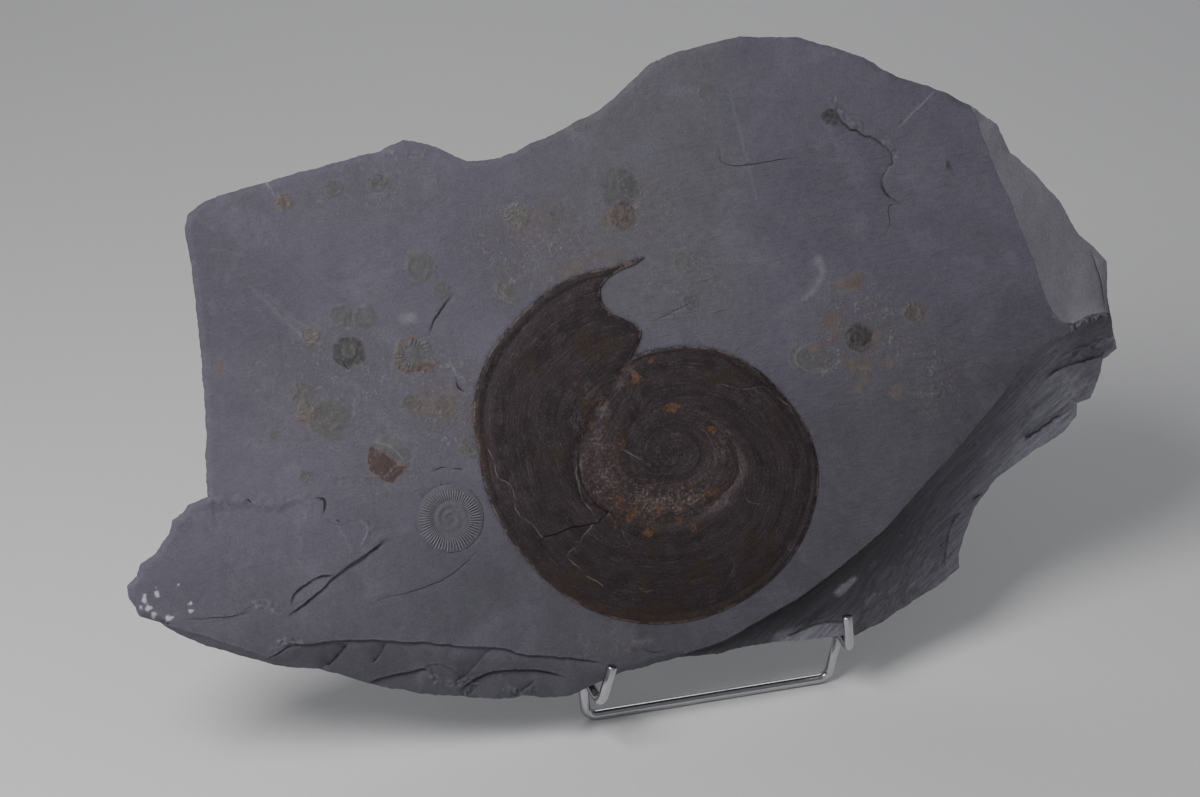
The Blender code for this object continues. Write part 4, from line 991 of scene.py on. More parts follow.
def back_depth(points):
    """Depth of the slab's back below its face. It is nowhere deeper than THICKNESS."""
    depth = np.full(len(points), THICKNESS)
    for path, rise in BACK_LEDGES:
        gap, _, right = nearest_on_path(points, path)
        depth -= np.where(right, rise * smoothstep(0.0, 1.3, gap), 0.0)
    depth -= 0.8 * np.maximum(noise_field(points, 0.02, 6.4), 0.0)
    return depth - 0.25 * np.abs(noise_field(points, 0.09, 23.0, octaves=3))


def back_inset(outward_x, outward_y):
    """How far the back's outline lies inside the front's, by the way the side faces."""
    return 4.0 + 5.0 * np.maximum(-outward_x, 0.0) + 21.0 * np.maximum(-outward_y, 0.0) ** 2


FACE_SPACING = 2.3
FLANK_SPACING = 1.7
FOSSIL_SPACING = 0.95
PAINT_SPACING = 0.8
BACK_SPACING = 6.5
FOSSIL_REACH = 1.15                   # of its radius, filled with a small fossil's own points
SIDE_LAYERS = 22


def add_rim_and_edges(field):
    """Adds the rim, rows of points inside it and the edges of the broken regions."""
    field.add_chain(RIM_LOOP, closed=True)
    for inset in (0.9, 2.0, 3.5):
        loop = np.array([p[:2] for p in offset_path(RIM_LOOP, inset, closed=True)])
        keep = inside(loop, RIM_LOOP) & (loop_gap(loop, RIM_LOOP) > inset * 0.85)
        for region in (FLANK_LOOP, CHIP_LOOP, APRON_LOOP):
            keep &= ~inside(loop, region)
        field.add(loop[keep])
    for edge in (CHIP_LINE, FLANK_LINE, APRON_LINE):
        for inset in (0.0, 0.8, -0.8):
            line = np.array(offset_path(edge, inset))[:, :2]
            field.add_chain(line[(loop_gap(line, RIM_LOOP) > 1.2) & inside(line, RIM_LOOP)])


def add_marks(field):
    """Adds points along the ledges, crumbly edges, cracks and pale lines.

    Gives the paths that all other points keep clear of.
    """
    guarded = [CHIP_LINE, FLANK_LINE, APRON_LINE]
    for path, *_ in [*RAGGED_LEDGES.values(), *RAGGED_LAYERS.values()]:
        line = np.array(path)[:, :2]
        line = [tuple(p) for p in line[(loop_gap(line, RIM_LOOP) > 1.5) & inside(line, RIM_LOOP)]]
        for inset in (0.0, LEDGE_RUN * 0.8, LEDGE_RUN * 1.9, -1.1):
            field.add_chain(offset_path(line, inset) if inset else line)
        guarded.append(line)
    for path, half, _ in RAGGED_CRUMBLES:
        insets = np.arange(-math.floor(half / 1.4), math.floor(half / 1.4) + 1) * 1.3
        line = np.array([p for inset in insets for p in (offset_path(path, inset) if inset else path)])
        line = line[inside(line, RIM_LOOP)]
        field.add(line[loop_gap(line, RIM_LOOP) > 1.2])
        guarded.append(path)
    for path, half, *_ in RAGGED_CRACKS + RAGGED_PALE:
        field.add_chain(path)
        for inset in (half, -half):
            field.add(offset_path(path, inset))
        guarded.append(path)
    return guarded


def add_fossil_grids(field, guarded):
    """Fills the small fossils and the dabs of paint with fine points."""
    for index, (_, u, v, r, *_) in enumerate(SMALL_FOSSILS):
        grid = staggered(u - r * 1.2, u + r * 1.2, v - r * 1.2, v + r * 1.2, FOSSIL_SPACING)
        grid = grid[spot_reach(grid, u, v) < r * FOSSIL_REACH]
        for _, other_u, other_v, other_r, *_ in SMALL_FOSSILS[:index]:
            grid = grid[spot_reach(grid, other_u, other_v) > other_r * FOSSIL_REACH + 0.5]
        for path in guarded:
            grid = grid[nearest_on_path(grid, path)[0] > FOSSIL_SPACING * 0.5] if len(grid) else grid
        field.add(grid)
    dabs = staggered(*TIP_RECTANGLE, PAINT_SPACING)
    dabs = dabs[inside(dabs, RIM_LOOP)]
    field.add(dabs[loop_gap(dabs, RIM_LOOP) > 4.0])


def spread(field, guarded, spacing, wanted):
    """Fills the wanted ground with points, clear of the rim, the paths and the fine grids."""
    grid = staggered(*SLAB_RECTANGLE, spacing)
    grid = grid[inside(grid, RIM_LOOP) & wanted(grid)]
    grid = grid[loop_gap(grid, RIM_LOOP) > spacing * 0.5]
    for path in guarded:
        close, (gap, _, _) = near_path(grid, path, spacing)
        grid = np.delete(grid, close[gap < spacing * 0.45], axis=0)
    for _, u, v, r, *_ in SMALL_FOSSILS:
        grid = grid[spot_reach(grid, u, v) > r * FOSSIL_REACH + spacing * 0.3]
    _, tip_u, low_v, high_v = TIP_RECTANGLE
    crowded = (grid[:, 0] < tip_u) & (grid[:, 1] < high_v + 1) & (grid[:, 1] > low_v - 1)
    field.add(grid[~crowded | (loop_gap(grid, RIM_LOOP) < 4.0)])


def front_field_points(shell_outline):
    """The points and chains of the slab's front, the rim's points first."""
    field = PointField()
    add_rim_and_edges(field)
    guarded = add_marks(field)
    add_fossil_grids(field, guarded)
    hidden = offset_path(shell_outline, 6.0, closed=True)
    for spacing, wanted in (
            (FACE_SPACING, lambda p: ~inside(p, FLANK_LOOP) & ~inside(p, hidden) & ~inside(p, APRON_LOOP)),
            (FLANK_SPACING, lambda p: inside(p, APRON_LOOP) & ~inside(p, FLANK_LOOP)),
            (FACE_SPACING * 4.0, lambda p: inside(p, hidden)),
            (FLANK_SPACING, lambda p: inside(p, FLANK_LOOP))):
        spread(field, guarded, spacing, wanted)
    return field


BED_THICKNESS = 2.6
SMOOTHING = 9                         # points on each side over which the way inwards is averaged


def inward_ways(rim):
    """The way inwards at each point of the rim, evened out along it."""
    inner = np.array([p[:2] for p in offset_path([tuple(p) for p in rim], 1.0, closed=True)])
    ways = sum(np.roll(inner - rim, shift, axis=0) for shift in range(-SMOOTHING, SMOOTHING + 1))
    return ways / np.linalg.norm(ways, axis=1)[:, None]


def side_rings(rim, rim_depth, inward, inset, behind_depth):
    """Places of the broken side's rings, from the front to the back, with its beds."""
    around = np.arange(len(rim)) * 1.9
    for layer in range(1, SIDE_LAYERS):
        share = layer / SIDE_LAYERS
        here = rim_depth + (behind_depth - rim_depth) * share
        bed = np.floor((here + noise_field(rim, 0.02, 27.0) * 3.0) / BED_THICKNESS)
        jut = np.array([noise.noise((a * 0.045, b * 7.3, 3.3)) for a, b in zip(around, bed)])
        fine = noise_field(np.column_stack((around, here * 3.0)), 0.2, 29.0, octaves=2)
        settle = min(1.0, share * 6.0) * min(1.0, (1.0 - share) * 6.0)
        depth_in = inset * share ** 1.1 + settle * (1.7 + 2.6 * jut + 0.5 * fine)
        depth_in = np.maximum(depth_in, 0.15 * share)
        yield slab_places(rim + inward * depth_in[:, None], here)


def back_field(behind):
    """The points and chains of the slab's back, its outline's points first."""
    field = PointField()
    field.add_chain(behind, closed=True)
    loop = [tuple(p) for p in behind]
    for path, _ in BACK_LEDGES:
        for line in (ragged(path, 1.5, 3.0, 83.0), offset_path(ragged(path, 1.5, 3.0, 83.0), 1.3)):
            line = np.array(line)
            gap = loop_gap(line, loop)
            field.add_chain(line[inside(line, loop) & (gap > 2.0)])
    grid = staggered(*SLAB_RECTANGLE, BACK_SPACING)
    grid = grid[inside(grid, loop)]
    field.add(grid[loop_gap(grid, loop) > 3.0])
    return field


def build_slab(finish, shell_outline, ribbed_outline):
    field = front_field_points(shell_outline)
    boundary = list(range(len(RIM_LOOP)))
    flat, faces, found = triangulate(field.points, field.chains, boundary)
    depth, fields = front_fields(flat)
    # Each ammonite's ground sinks under it; the crack field puts painted shadow round the large ammonite's
    # edge, none round the ribbed one.
    for outline, reach, shade in ((shell_outline, 3.0, 0.35), (ribbed_outline, 2.0, 0.0)):
        gap = loop_gap(flat, outline)
        depth += np.where(inside(flat, outline), 1.6 * smoothstep(0.3, reach, gap), 0.0)
        fields["crack"] = np.maximum(fields["crack"], shade * (1.0 - smoothstep(0.2, 1.1, gap)))
    fields["side"] = np.zeros(len(flat))

    rim_index = np.array([found[i] for i in boundary])
    rim = flat[rim_index]
    inward = inward_ways(rim)
    inset = back_inset(-inward[:, 0], -inward[:, 1])
    behind = rim + inward * inset[:, None]
    places = [slab_places(flat, depth)]
    places += side_rings(rim, depth[rim_index], inward, inset, back_depth(behind))
    side_count = (SIDE_LAYERS - 1) * len(rim)
    offset = len(flat) + side_count
    rear = back_field(behind)
    rear_flat, rear_faces, rear_found = triangulate(rear.points, rear.chains, boundary)
    places.append(slab_places(rear_flat, back_depth(rear_flat)))

    between = [[len(flat) + i for i in ring] for ring in numbered_rings(SIDE_LAYERS - 1, len(rim))]
    rings = [list(rim_index), *between, [offset + rear_found[i] for i in boundary]]
    all_faces = [tuple(face) for face in faces] + bridge(rings)
    all_faces += [tuple(offset + i for i in face)[::-1] for face in rear_faces]
    extra = side_count + len(rear_flat)
    fields = {name: np.concatenate((values, np.zeros(extra))) for name, values in fields.items()}
    fields["side"][len(flat):] = 1.0
    return make_piece("grey_shale_slab", to_world(np.concatenate(places)), all_faces, finish,
                      ["shale_slab"], sharp=28.0, fields=fields)


# ---- the large ammonite ----------------------------------------------------------------
def keel_curve(turn):
    """Radius of the keel line at a turn, by a curve through KEEL_LINE."""
    turn = min(max(turn, KEEL_LINE[0][0]), KEEL_LINE[-1][0])
    index = max(i for i, (t, _) in enumerate(KEEL_LINE[:-1]) if t <= turn)
    (t0, r0), (t1, r1) = KEEL_LINE[max(index - 1, 0)], KEEL_LINE[index]
    (t2, r2), (t3, r3) = KEEL_LINE[index + 1], KEEL_LINE[min(index + 2, len(KEEL_LINE) - 1)]
    span = t2 - t1
    slope_in = (r2 - r0) / max(t2 - t0, TINY) * span
    slope_out = (r3 - r1) / max(t3 - t1, TINY) * span
    x = (turn - t1) / span
    return ((2 * x ** 3 - 3 * x ** 2 + 1) * r1 + (x ** 3 - 2 * x ** 2 + x) * slope_in
            + (3 * x ** 2 - 2 * x ** 3) * r2 + (x ** 3 - x ** 2) * slope_out)


TABLE_TURNS = np.arange(APERTURE_TURN, LAST_TURN + 0.5, 0.5)      # every half degree
TABLE_RADII = np.array([keel_curve(turn) for turn in TABLE_TURNS])


def keel_radius(turn):
    """Radius of the keel line at turns, and 0 past its last turn."""
    return np.where(np.asarray(turn) > LAST_TURN, 0.0, np.interp(turn, TABLE_TURNS, TABLE_RADII))


def keel_points(turn):
    radius = keel_radius(turn)
    return np.column_stack((radius * np.cos(np.radians(turn)), radius * np.sin(np.radians(turn))))


def whorl_points(turn, share):
    """Points on whorls: share runs from the inner seam, 0, to the keel, 1."""
    mouth = 1.0 - smoothstep(APERTURE_TURN, MOUTH_FADE_TURN, turn)
    seam = keel_points(turn + 360.0 + APERTURE_LAG * mouth)
    keel = keel_points(turn)
    shares, bulge_u, bulge_v = np.array(MOUTH).T
    bulge = np.column_stack((np.interp(share, shares, bulge_u), np.interp(share, shares, bulge_v)))
    return seam + (keel - seam) * share[:, None] + bulge * mouth[:, None]


def turn_and_share(points):
    """The whorl that each point lies on, as its turn and its share from seam to keel."""
    angle = np.degrees(np.arctan2(points[:, 1], points[:, 0])) % 360.0
    radius = np.hypot(points[:, 0], points[:, 1])
    turn = np.where(angle < APERTURE_TURN, angle + 360.0, angle)
    for _ in range(3):
        inner = keel_radius(turn + 360.0)
        turn = np.where((radius < inner) & (turn + 360.0 < LAST_TURN), turn + 360.0, turn)
    outer = keel_radius(turn)
    inner = keel_radius(turn + 360.0)
    return turn, clamped((radius - inner) / np.maximum(outer - inner, 0.1))


def joint_height(turn):
    """Height of the keel line: that of the free edge, and then that of the seam."""
    return KEEL_HEIGHT + (SEAM_HEIGHT - KEEL_HEIGHT) * smoothstep(SEAM_TURN - 10, SEAM_TURN, turn)


def growth_phase(turn, share):
    """Equal along each growth line, which sweeps forward towards the keel."""
    sweep = clamped((share - 0.3) / 0.7) ** 1.5
    return turn + 30.0 * sweep - 5.0 * np.sin(math.pi * clamped(share / 0.6))


def granular_share(turn, share):
    """How rough the crushed shell round the navel is, 0 to 1."""
    around = smoothstep(480.0, 540.0, turn) * (1.0 - smoothstep(655.0, 770.0, turn))
    return around * smoothstep(0.0, 0.3, share) * (1.0 - 0.5 * smoothstep(0.75, 1.0, share))


def shell_height(points, turn, share):
    """Height of the shell above the slab's face."""
    width = keel_radius(turn) - keel_radius(turn + 360.0)
    rise = WHORL_RISE * np.minimum(width / FULL_WHORL, 1.0)
    seam_wall = np.minimum(5.5 / np.maximum(width, 1.0), 0.3)
    shape = smoothstep(0.0, 1.0, share / seam_wall) * (1.0 - 0.4 * share)
    shape *= 1.0 - smoothstep(0.84, 0.93, share)
    worn = clamped(0.3 + 2.0 * noise_field(points, 0.07, 41.0, octaves=2))
    ridge = np.where(turn < SEAM_TURN, 0.7, 0.4 * worn)
    keel = ridge * smoothstep(0.915, 0.95, share) * (1.0 - smoothstep(0.95, 1.0, share))
    base = joint_height(turn + 360.0) * (1.0 - share) + joint_height(turn) * share
    phase = growth_phase(turn, share)
    body = smoothstep(0.05, 0.2, share) * (1.0 - smoothstep(0.85, 0.92, share))
    folds = np.array([noise.noise((p * 0.35, 4.2, 0.0)) for p in phase])
    dents = noise_field(points, 0.045, 33.0, octaves=3)
    rough = noise_field(points, 0.25, 35.0, octaves=2)
    granular = granular_share(turn, share)
    roughness = body * (0.07 * folds + 0.2 * dents) + (0.04 + 0.35 * granular) * rough
    return base + rise * shape + keel + roughness


# Rows of points over the shell: last turn, degrees from row to row, shares of the whorl.
SHELL_ROWS = [
    (SEAM_TURN, 1.5, (0.02, 0.045, 0.08, 0.13, 0.2, 0.28, 0.36, 0.44, 0.52, 0.6, 0.68, 0.76, 0.82, 0.87,
                      0.9, 0.925, 0.95, 0.975)),
    (828.0, 2.5, (0.04, 0.1, 0.18, 0.3, 0.42, 0.54, 0.66, 0.78, 0.86, 0.92, 0.96)),
    (1188.0, 4.0, (0.1, 0.25, 0.45, 0.65, 0.8, 0.92)),
    (LAST_TURN, 8.0, (0.2, 0.5, 0.8)),
]
MOUTH_POINTS = 45


def shell_rows():
    """Turns of the keel's points, and the turn and share of the points inside it."""
    rows = []
    keel_turns = []
    turn = APERTURE_TURN
    for last_turn, step, shares in SHELL_ROWS:
        while turn < last_turn - 0.01:
            if turn > APERTURE_TURN:
                rows += [(turn, share) for share in shares]
            keel_turns.append(turn)
            turn += step
    return np.array(keel_turns + [LAST_TURN]), np.array(rows)


def mouth_edge():
    """The mouth's edge, from the keel to the seam."""
    shares = np.array([share for share, _, _ in MOUTH[-2:0:-1]])
    fine = np.interp(np.linspace(0, 1, MOUTH_POINTS), np.linspace(0, 1, len(shares)), shares)
    return whorl_points(np.full(len(fine), APERTURE_TURN), fine)


def ragged_marks(table, seed):
    return [(ragged(curved(path), 0.9, 1.6, seed + 1.7 * index), *values)
            for index, (path, *values) in enumerate(table)]


SHELL_CRACK_LINES = ragged_marks(SHELL_CRACKS, 51.0)
SHELL_FISSURE_LINES = ragged_marks(SHELL_FISSURES, 81.0)


def shell_field_points():
    """The shell's points and chains, its outline as point numbers, and the mouth's edge."""
    field = PointField()
    keel_turns, rows = shell_rows()
    keel = keel_points(keel_turns)
    seam_start = whorl_points(np.array([APERTURE_TURN]), np.array([0.0]))[0]
    near_seam = np.abs(keel_turns - SEAM_TURN) < 30
    seam_end = int(np.argmin(np.where(near_seam, np.hypot(*(keel - seam_start).T), FAR)))
    field.add_chain(keel)
    lip = mouth_edge()
    lip_index = list(range(len(field.points), len(field.points) + len(lip)))
    field.add(lip)
    field.chains.append([0] + lip_index + [seam_end])
    boundary = list(range(seam_end + 1)) + lip_index[::-1]
    loop = [field.points[i] for i in boundary]
    inner = whorl_points(rows[:, 0], rows[:, 1])
    inner = inner[inside(inner, loop) & (loop_gap(inner, loop) > 0.4)]
    for path, half, *_ in SHELL_CRACK_LINES + SHELL_FISSURE_LINES:
        close, (gap, _, _) = near_path(inner, path, 3.0)
        inner = np.delete(inner, close[gap < half + 0.5], axis=0)
    field.add(inner)
    field.add([(0.0, 0.0)])
    for path, half, *_ in SHELL_CRACK_LINES + SHELL_FISSURE_LINES:
        for shift in (0.0, half, -half):
            line = np.array(offset_path(path, shift) if shift else path)
            field.add(line[inside(line, loop)])
    return field, boundary, lip


def add_shell_marks(flat, height, fields):
    """Cuts the cracks and fissures, and adds the rusty and creamy spots to the fields."""
    for path, half, pale in SHELL_CRACK_LINES:
        close, (gap, _, _) = near_path(flat, path, 3.0)
        broken = clamped(0.55 + 1.1 * noise_field(flat[close], 0.16, half * 90.0, octaves=2))
        line = clamped(1.0 - gap / half) * broken
        height[close] -= 0.3 * line
        raise_to(fields["pale"], close, pale * line)
    for path, half in SHELL_FISSURE_LINES:
        close, (gap, _, _) = near_path(flat, path, 3.0)
        line = clamped(1.0 - gap / half)
        height[close] -= 0.7 * line
        raise_to(fields["fissure"], close, line)
    for u, v, half_u, half_v, strength in SHELL_RUST:
        reach = spot_reach(flat, u, v, half_u, half_v)
        close = np.flatnonzero(reach < 1.7)
        broken = noise_field(flat[close], 0.16, 9.0 + u * 0.07, octaves=3)
        spot = strength * smoothstep(0.0, 0.6, 1.0 - reach[close] + 0.8 * broken)
        spot *= clamped(0.85 + 0.9 * noise_field(flat[close], 0.5, 2.0 + v * 0.05))
        raise_to(fields["rust"], close, spot)
    for u, v, half_u, half_v, strength in SHELL_CREAMY:
        reach = spot_reach(flat, u, v, half_u, half_v)
        close = np.flatnonzero(reach < 1.9)
        broken = noise_field(flat[close], 0.13, 17.0 + u * 0.07, octaves=3)
        raise_to(fields["cream"], close, strength * smoothstep(0.0, 0.8, 1.1 - reach[close] + 0.7 * broken))


def build_large_ammonite(finish):
    """Makes the shell, and gives its outline, clockwise."""
    field, boundary, lip = shell_field_points()
    loop = [field.points[i] for i in boundary]
    flat, faces, found = triangulate(field.points, field.chains, boundary)
    turn, share = turn_and_share(flat)
    lip_gap, _, _ = nearest_on_path(flat, [tuple(p) for p in lip])
    height = shell_height(flat, turn, share)
    height = KEEL_HEIGHT + (height - KEEL_HEIGHT) * (0.35 + 0.65 * smoothstep(0.0, 4.0, lip_gap))
    edge_gap = loop_gap(flat, loop)
    fields = {"share": share, "margin": keel_radius(turn) - np.hypot(flat[:, 0], flat[:, 1]),
              "granular": granular_share(turn, share), "rim": 1.0 - smoothstep(0.0, 2.2, edge_gap)}
    fields.update({name: np.zeros(len(flat)) for name in ("pale", "fissure", "rust", "cream")})
    add_shell_marks(flat, height, fields)

    # a wall goes down from the outline into the slab, and is closed below
    ring = np.array([found[i] for i in boundary])
    wall = flat[ring]
    skirt = np.column_stack((wall * 1.002, np.full(len(ring), -0.9)))
    base = np.column_stack((wall * 0.98, np.full(len(ring), -1.4)))
    below = [[len(flat) + i for i in numbers] for numbers in numbered_rings(2, len(ring))]
    all_faces = [tuple(face) for face in faces] + bridge([list(ring), *below], flip=True)
    all_faces.append(tuple(below[-1])[::-1])
    fields = {name: np.concatenate((values, values[ring], values[ring])) for name, values in fields.items()}
    places = np.concatenate((np.column_stack((flat, height)), skirt, base))
    make_piece("flattened_ammonite", to_world(places), all_faces, finish,
               ["large_ammonite"], sharp=50.0, fields=fields)
    return [tuple(p) for p in wall[::-1]]


# ---- the small ribbed ammonite --------------------------------------------------------
def ribbed_outline():
    turns = np.linspace(0.0, math.tau, FINE_RIB_COUNT * 2, endpoint=False)[::-1]
    return [(RIBBED_CENTRE[0] + RIBBED_RADIUS * math.cos(t), RIBBED_CENTRE[1] + RIBBED_RADIUS * math.sin(t))
            for t in turns]


def build_ribbed_ammonite(finish):
    around = FINE_RIB_COUNT * STEPS_PER_RIB
    turns = np.arange(around) * math.tau / around
    shares = np.concatenate((np.linspace(1.0, 0.5, 22), np.linspace(0.47, 0.08, 12)))
    profile = np.array(RIBBED_PROFILE)
    places = []
    relief = []
    gaps = []
    rib = np.floor(turns * FINE_RIB_COUNT / math.tau)
    lengths = np.array([noise.noise((r * 7.31, 2.2, 8.0)) for r in rib])
    strengths = np.array([noise.noise((r * 3.17, 5.2, 1.0)) for r in rib])
    lower_side = 0.06 * (1.0 - np.sin(turns))
    for share in shares:
        lean = 0.22 * (1.0 - share) ** 2
        crest = np.abs(np.sin((turns + lean) * FINE_RIB_COUNT / 2.0)) ** 1.8
        worn = 0.8 + 0.4 * strengths + 0.5 * np.array([
            noise.noise((math.cos(t) * 1.9, math.sin(t) * 1.9, 3.0 + share)) for t in turns])
        rib_end = 0.84 + 0.12 * lengths + lower_side
        rib_start = 0.53 + 0.05 * strengths
        on_whorl = smoothstep(0.0, 0.07, share - rib_start)
        on_whorl *= 1.0 - smoothstep(-0.05, 0.03, share - rib_end)
        inner = 0.3 * smoothstep(0.28, 0.34, share) * (1.0 - smoothstep(0.44, 0.5, share))
        strength = (on_whorl + inner) * worn
        height = np.interp(share, profile[:, 0], profile[:, 1]) + 0.8 * strength * (crest - 0.6)
        spiral = 0.2 * np.cos(turns + share * 26.0) * (1.0 - smoothstep(0.45, 0.6, share))
        radius = RIBBED_RADIUS * share
        spots = np.column_stack((RIBBED_CENTRE[0] + radius * np.cos(turns),
                                 RIBBED_CENTRE[1] + radius * np.sin(turns)))
        places.append(np.column_stack((spots, height + spiral - unevenness_of(spots))))
        relief.append(clamped(strength * crest))
        gaps.append(clamped(on_whorl * worn * (1.0 - crest) ** 2))
    skirt = places[0].copy()
    skirt[:, 2] = -1.0
    places = [skirt] + places
    relief = [np.zeros(around)] + relief + [np.zeros(1)]
    gaps = [np.zeros(around)] + gaps + [np.zeros(1)]
    centre = np.array([[*RIBBED_CENTRE, 0.5]])
    faces = bridge(numbered_rings(len(places), around))
    last = (len(places) - 1) * around
    hub = len(places) * around
    faces += [(last + index, last + (index + 1) % around, hub) for index in range(around)]
    faces.append(tuple(range(around))[::-1])
    # pale lightens the ribs' crests, and crack puts painted shade in the gaps between the ribs.
    return make_piece("ribbed_ammonite", to_world(np.concatenate(places + [centre])), faces, finish,
                      ["small_ribbed_ammonite"], sharp=80.0,
                      fields={"pale": 0.95 * np.concatenate(relief), "crack": 0.55 * np.concatenate(gaps),
                              "olive": 0.3 * np.ones(len(places) * around + 1)})


# ---- the stand ------------------------------------------------------------------------
def rounded_path(corners):
    """The corners joined by straight runs, with an arc at each bend."""
    path = [corners[0]]
    for before, here, after in zip(corners, corners[1:], corners[2:]):
        back = (before - here).normalized()
        on = (after - here).normalized()
        half = back.angle(on) / 2.0
        trim = BEND_RADIUS / math.tan(half)
        middle = here + (back + on).normalized() * BEND_RADIUS / math.sin(half)
        start = here + back * trim - middle
        end = here + on * trim - middle
        turn = start.angle(end)
        for step in range(BEND_STEPS + 1):
            share = step / BEND_STEPS
            path.append(middle + (start * math.sin((1.0 - share) * turn)
                                  + end * math.sin(share * turn)) / math.sin(turn))
    path.append(corners[-1])
    return path


def ring_around(centre, along, across, radius):
    """Places round an axis through the centre, counted from the side facing across."""
    side = (across - along * across.dot(along)).normalized()
    out = along.cross(side)
    return [centre + (side * math.sin(turn) + out * math.cos(turn)) * radius
            for turn in (math.tau * step / ROD_SIDES for step in range(ROD_SIDES))]


def skin_rings(rings):
    """Faces over rings of places, closed at both ends."""
    numbers = numbered_rings(len(rings), ROD_SIDES)
    return bridge(numbers) + [tuple(numbers[0])[::-1], tuple(numbers[-1])]


def stand_to_world(places):
    return [(STAND_ORIGIN + place) * METRES for place in places]


def build_rod(name, corners, across, finish, nodes):
    """A smooth bent rod whose cut ends have their edges eased."""
    path = rounded_path([Vector(corner) for corner in corners])
    first_way = (path[1] - path[0]).normalized()
    last_way = (path[-1] - path[-2]).normalized()
    eased = [(END_CHAMFER * ease, FLAT_RADIUS - END_CHAMFER * (1.0 - ease) ** 2)
             for ease in (0.0, 0.35, 1.0)]
    rings = [ring_around(path[0] + first_way * back, first_way, across, radius) for back, radius in eased]
    for before, here, after in zip(path, path[1:], path[2:]):
        rings.append(ring_around(here, (after - before).normalized(), across, FLAT_RADIUS))
    rings += [ring_around(path[-1] - last_way * back, last_way, across, radius)
              for back, radius in eased[::-1]]
    places = [place for ring in rings for place in ring]
    return make_piece(name, stand_to_world(places), skin_rings(rings), finish, nodes, sharp=40.0)


def bead_places(centre, along, across, away):
    """Rings of a lumpy bead of weld round a rod's end, thinner on the side facing away."""
    rings = []
    for step in range(BEAD_STEPS + 1):
        lift = math.pi * step / BEAD_STEPS
        ring = []
        for place in ring_around(Vector((0, 0, 0)), along, across, 1.0):
            thin = 1.0 - 0.85 * max(place.dot(away), 0.0)
            lump = 1.0 + 0.22 * noise.noise(place * 2.1 + centre)
            bulge = BEAD_RADIUS * thin * lump * math.sin(lift)
            ring.append(centre + place * (FLAT_RADIUS - 0.15 + bulge)
                        - along * BEAD_RADIUS * 1.2 * math.cos(lift))
        rings.append(ring)
    return rings


def slab_to_stand(u, v, w):
    """A place of the slab frame in the stand frame."""
    return COIL_CENTRE + Vector(SLAB_U) * u + Vector(SLAB_V) * v + Vector(SLAB_W) * w


def post_foot(x, height):
    """Where a post's axis comes down to the height of its arm."""
    v = (height - COIL_CENTRE.z + POST_DEPTH * math.sin(LEAN)) / math.cos(LEAN)
    return Vector((x, slab_to_stand(0.0, v, -POST_DEPTH).y, height))


def arm_x(hook, foot):
    """x of an arm where it passes over the front bar."""
    share = -hook[1] / (foot.y - hook[1])
    return hook[0] + (foot.x - hook[0]) * share


def build_stand(finish, weld_finish):
    sideways = Vector((1.0, 0.0, 0.0))
    backwards = Vector((0.0, 1.0, 0.0))
    upwards = Vector((0.0, 0.0, 1.0))
    left_foot = post_foot(LEFT_POST_X, LEFT_ARM_HEIGHT)
    right_foot = post_foot(RIGHT_POST_X, RIGHT_ARM_HEIGHT)
    left_top = Vector((arm_x(LEFT_HOOK, left_foot), 0.0, LEFT_ARM_HEIGHT - UNDER_ARM))
    right_top = Vector((arm_x(RIGHT_HOOK, right_foot), 0.0, RIGHT_ARM_HEIGHT - UNDER_ARM))
    build_rod("front_bar", [left_top, (-FRONT_BAR_HALF, 0.0, FLAT_RADIUS),
                            (FRONT_BAR_HALF, 0.0, FLAT_RADIUS), right_top],
              backwards, finish, ["front_foot"])
    for name, tip, hook, foot, height in (
            ("left_cradle", LEFT_TIP, LEFT_HOOK, left_foot, LEFT_ARM_HEIGHT),
            ("right_cradle", RIGHT_TIP, RIGHT_HOOK, right_foot, RIGHT_ARM_HEIGHT)):
        top = slab_to_stand(foot.x - COIL_CENTRE.x, POST_TOP_V, -POST_DEPTH)
        build_rod(name.replace("_", "_hook_"), [tip, (*hook, height), foot, top], sideways, finish,
                  [name])
    bar_left = slab_to_stand(LEFT_POST_X + UNDER_ARM - COIL_CENTRE.x, BACKREST_BAR_V, -POST_DEPTH)
    bar_right = slab_to_stand(RIGHT_POST_X - UNDER_ARM - COIL_CENTRE.x, BACKREST_BAR_V, -POST_DEPTH)
    build_rod("crossbar", [bar_left, bar_right], Vector(SLAB_V), finish, ["backrest_bar"])
    down = Vector((0.0, math.sin(REAR_LEG_SLOPE), -math.cos(REAR_LEG_SLOPE)))
    leg_top = bar_left + down * UNDER_ARM
    leg_foot = leg_top + down * (leg_top.z - FLAT_RADIUS) / math.cos(REAR_LEG_SLOPE)
    build_rod("back_leg",
              [(-REAR_LEG_HALF, leg_top.y, leg_top.z), (-REAR_LEG_HALF, leg_foot.y, FLAT_RADIUS),
               (REAR_LEG_HALF, leg_foot.y, FLAT_RADIUS), (REAR_LEG_HALF, leg_top.y, leg_top.z)],
              down.cross(sideways), finish, ["rear_leg"])
    places = []
    faces = []
    none = Vector((0.0, 0.0, 0.0))
    towards_slab = Vector(SLAB_W)
    for centre, along, across, away in (
            (left_top, upwards, backwards, none), (right_top, upwards, backwards, none),
            (bar_left, sideways, Vector(SLAB_V), towards_slab),
            (bar_right, sideways, Vector(SLAB_V), towards_slab),
            (Vector((-REAR_LEG_HALF, leg_top.y, leg_top.z)), down, sideways, towards_slab),
            (Vector((REAR_LEG_HALF, leg_top.y, leg_top.z)), down, sideways, towards_slab)):
        rings = bead_places(centre, along, across, away)
        start = len(places)
        places += [place for ring in rings for place in ring]
        faces += [tuple(start + i for i in face) for face in skin_rings(rings)]
    make_piece("weld_beads", stand_to_world(places), faces, weld_finish, [], sharp=60.0)


# ---- finishes ---------------------------------------------------------------------------
def operator(operation, swapped=False):
    """A method of Link that joins it to another value by a Math node."""
    def method(self, other):
        return self.math(operation, *((other, self) if swapped else (self, other)))
    return method


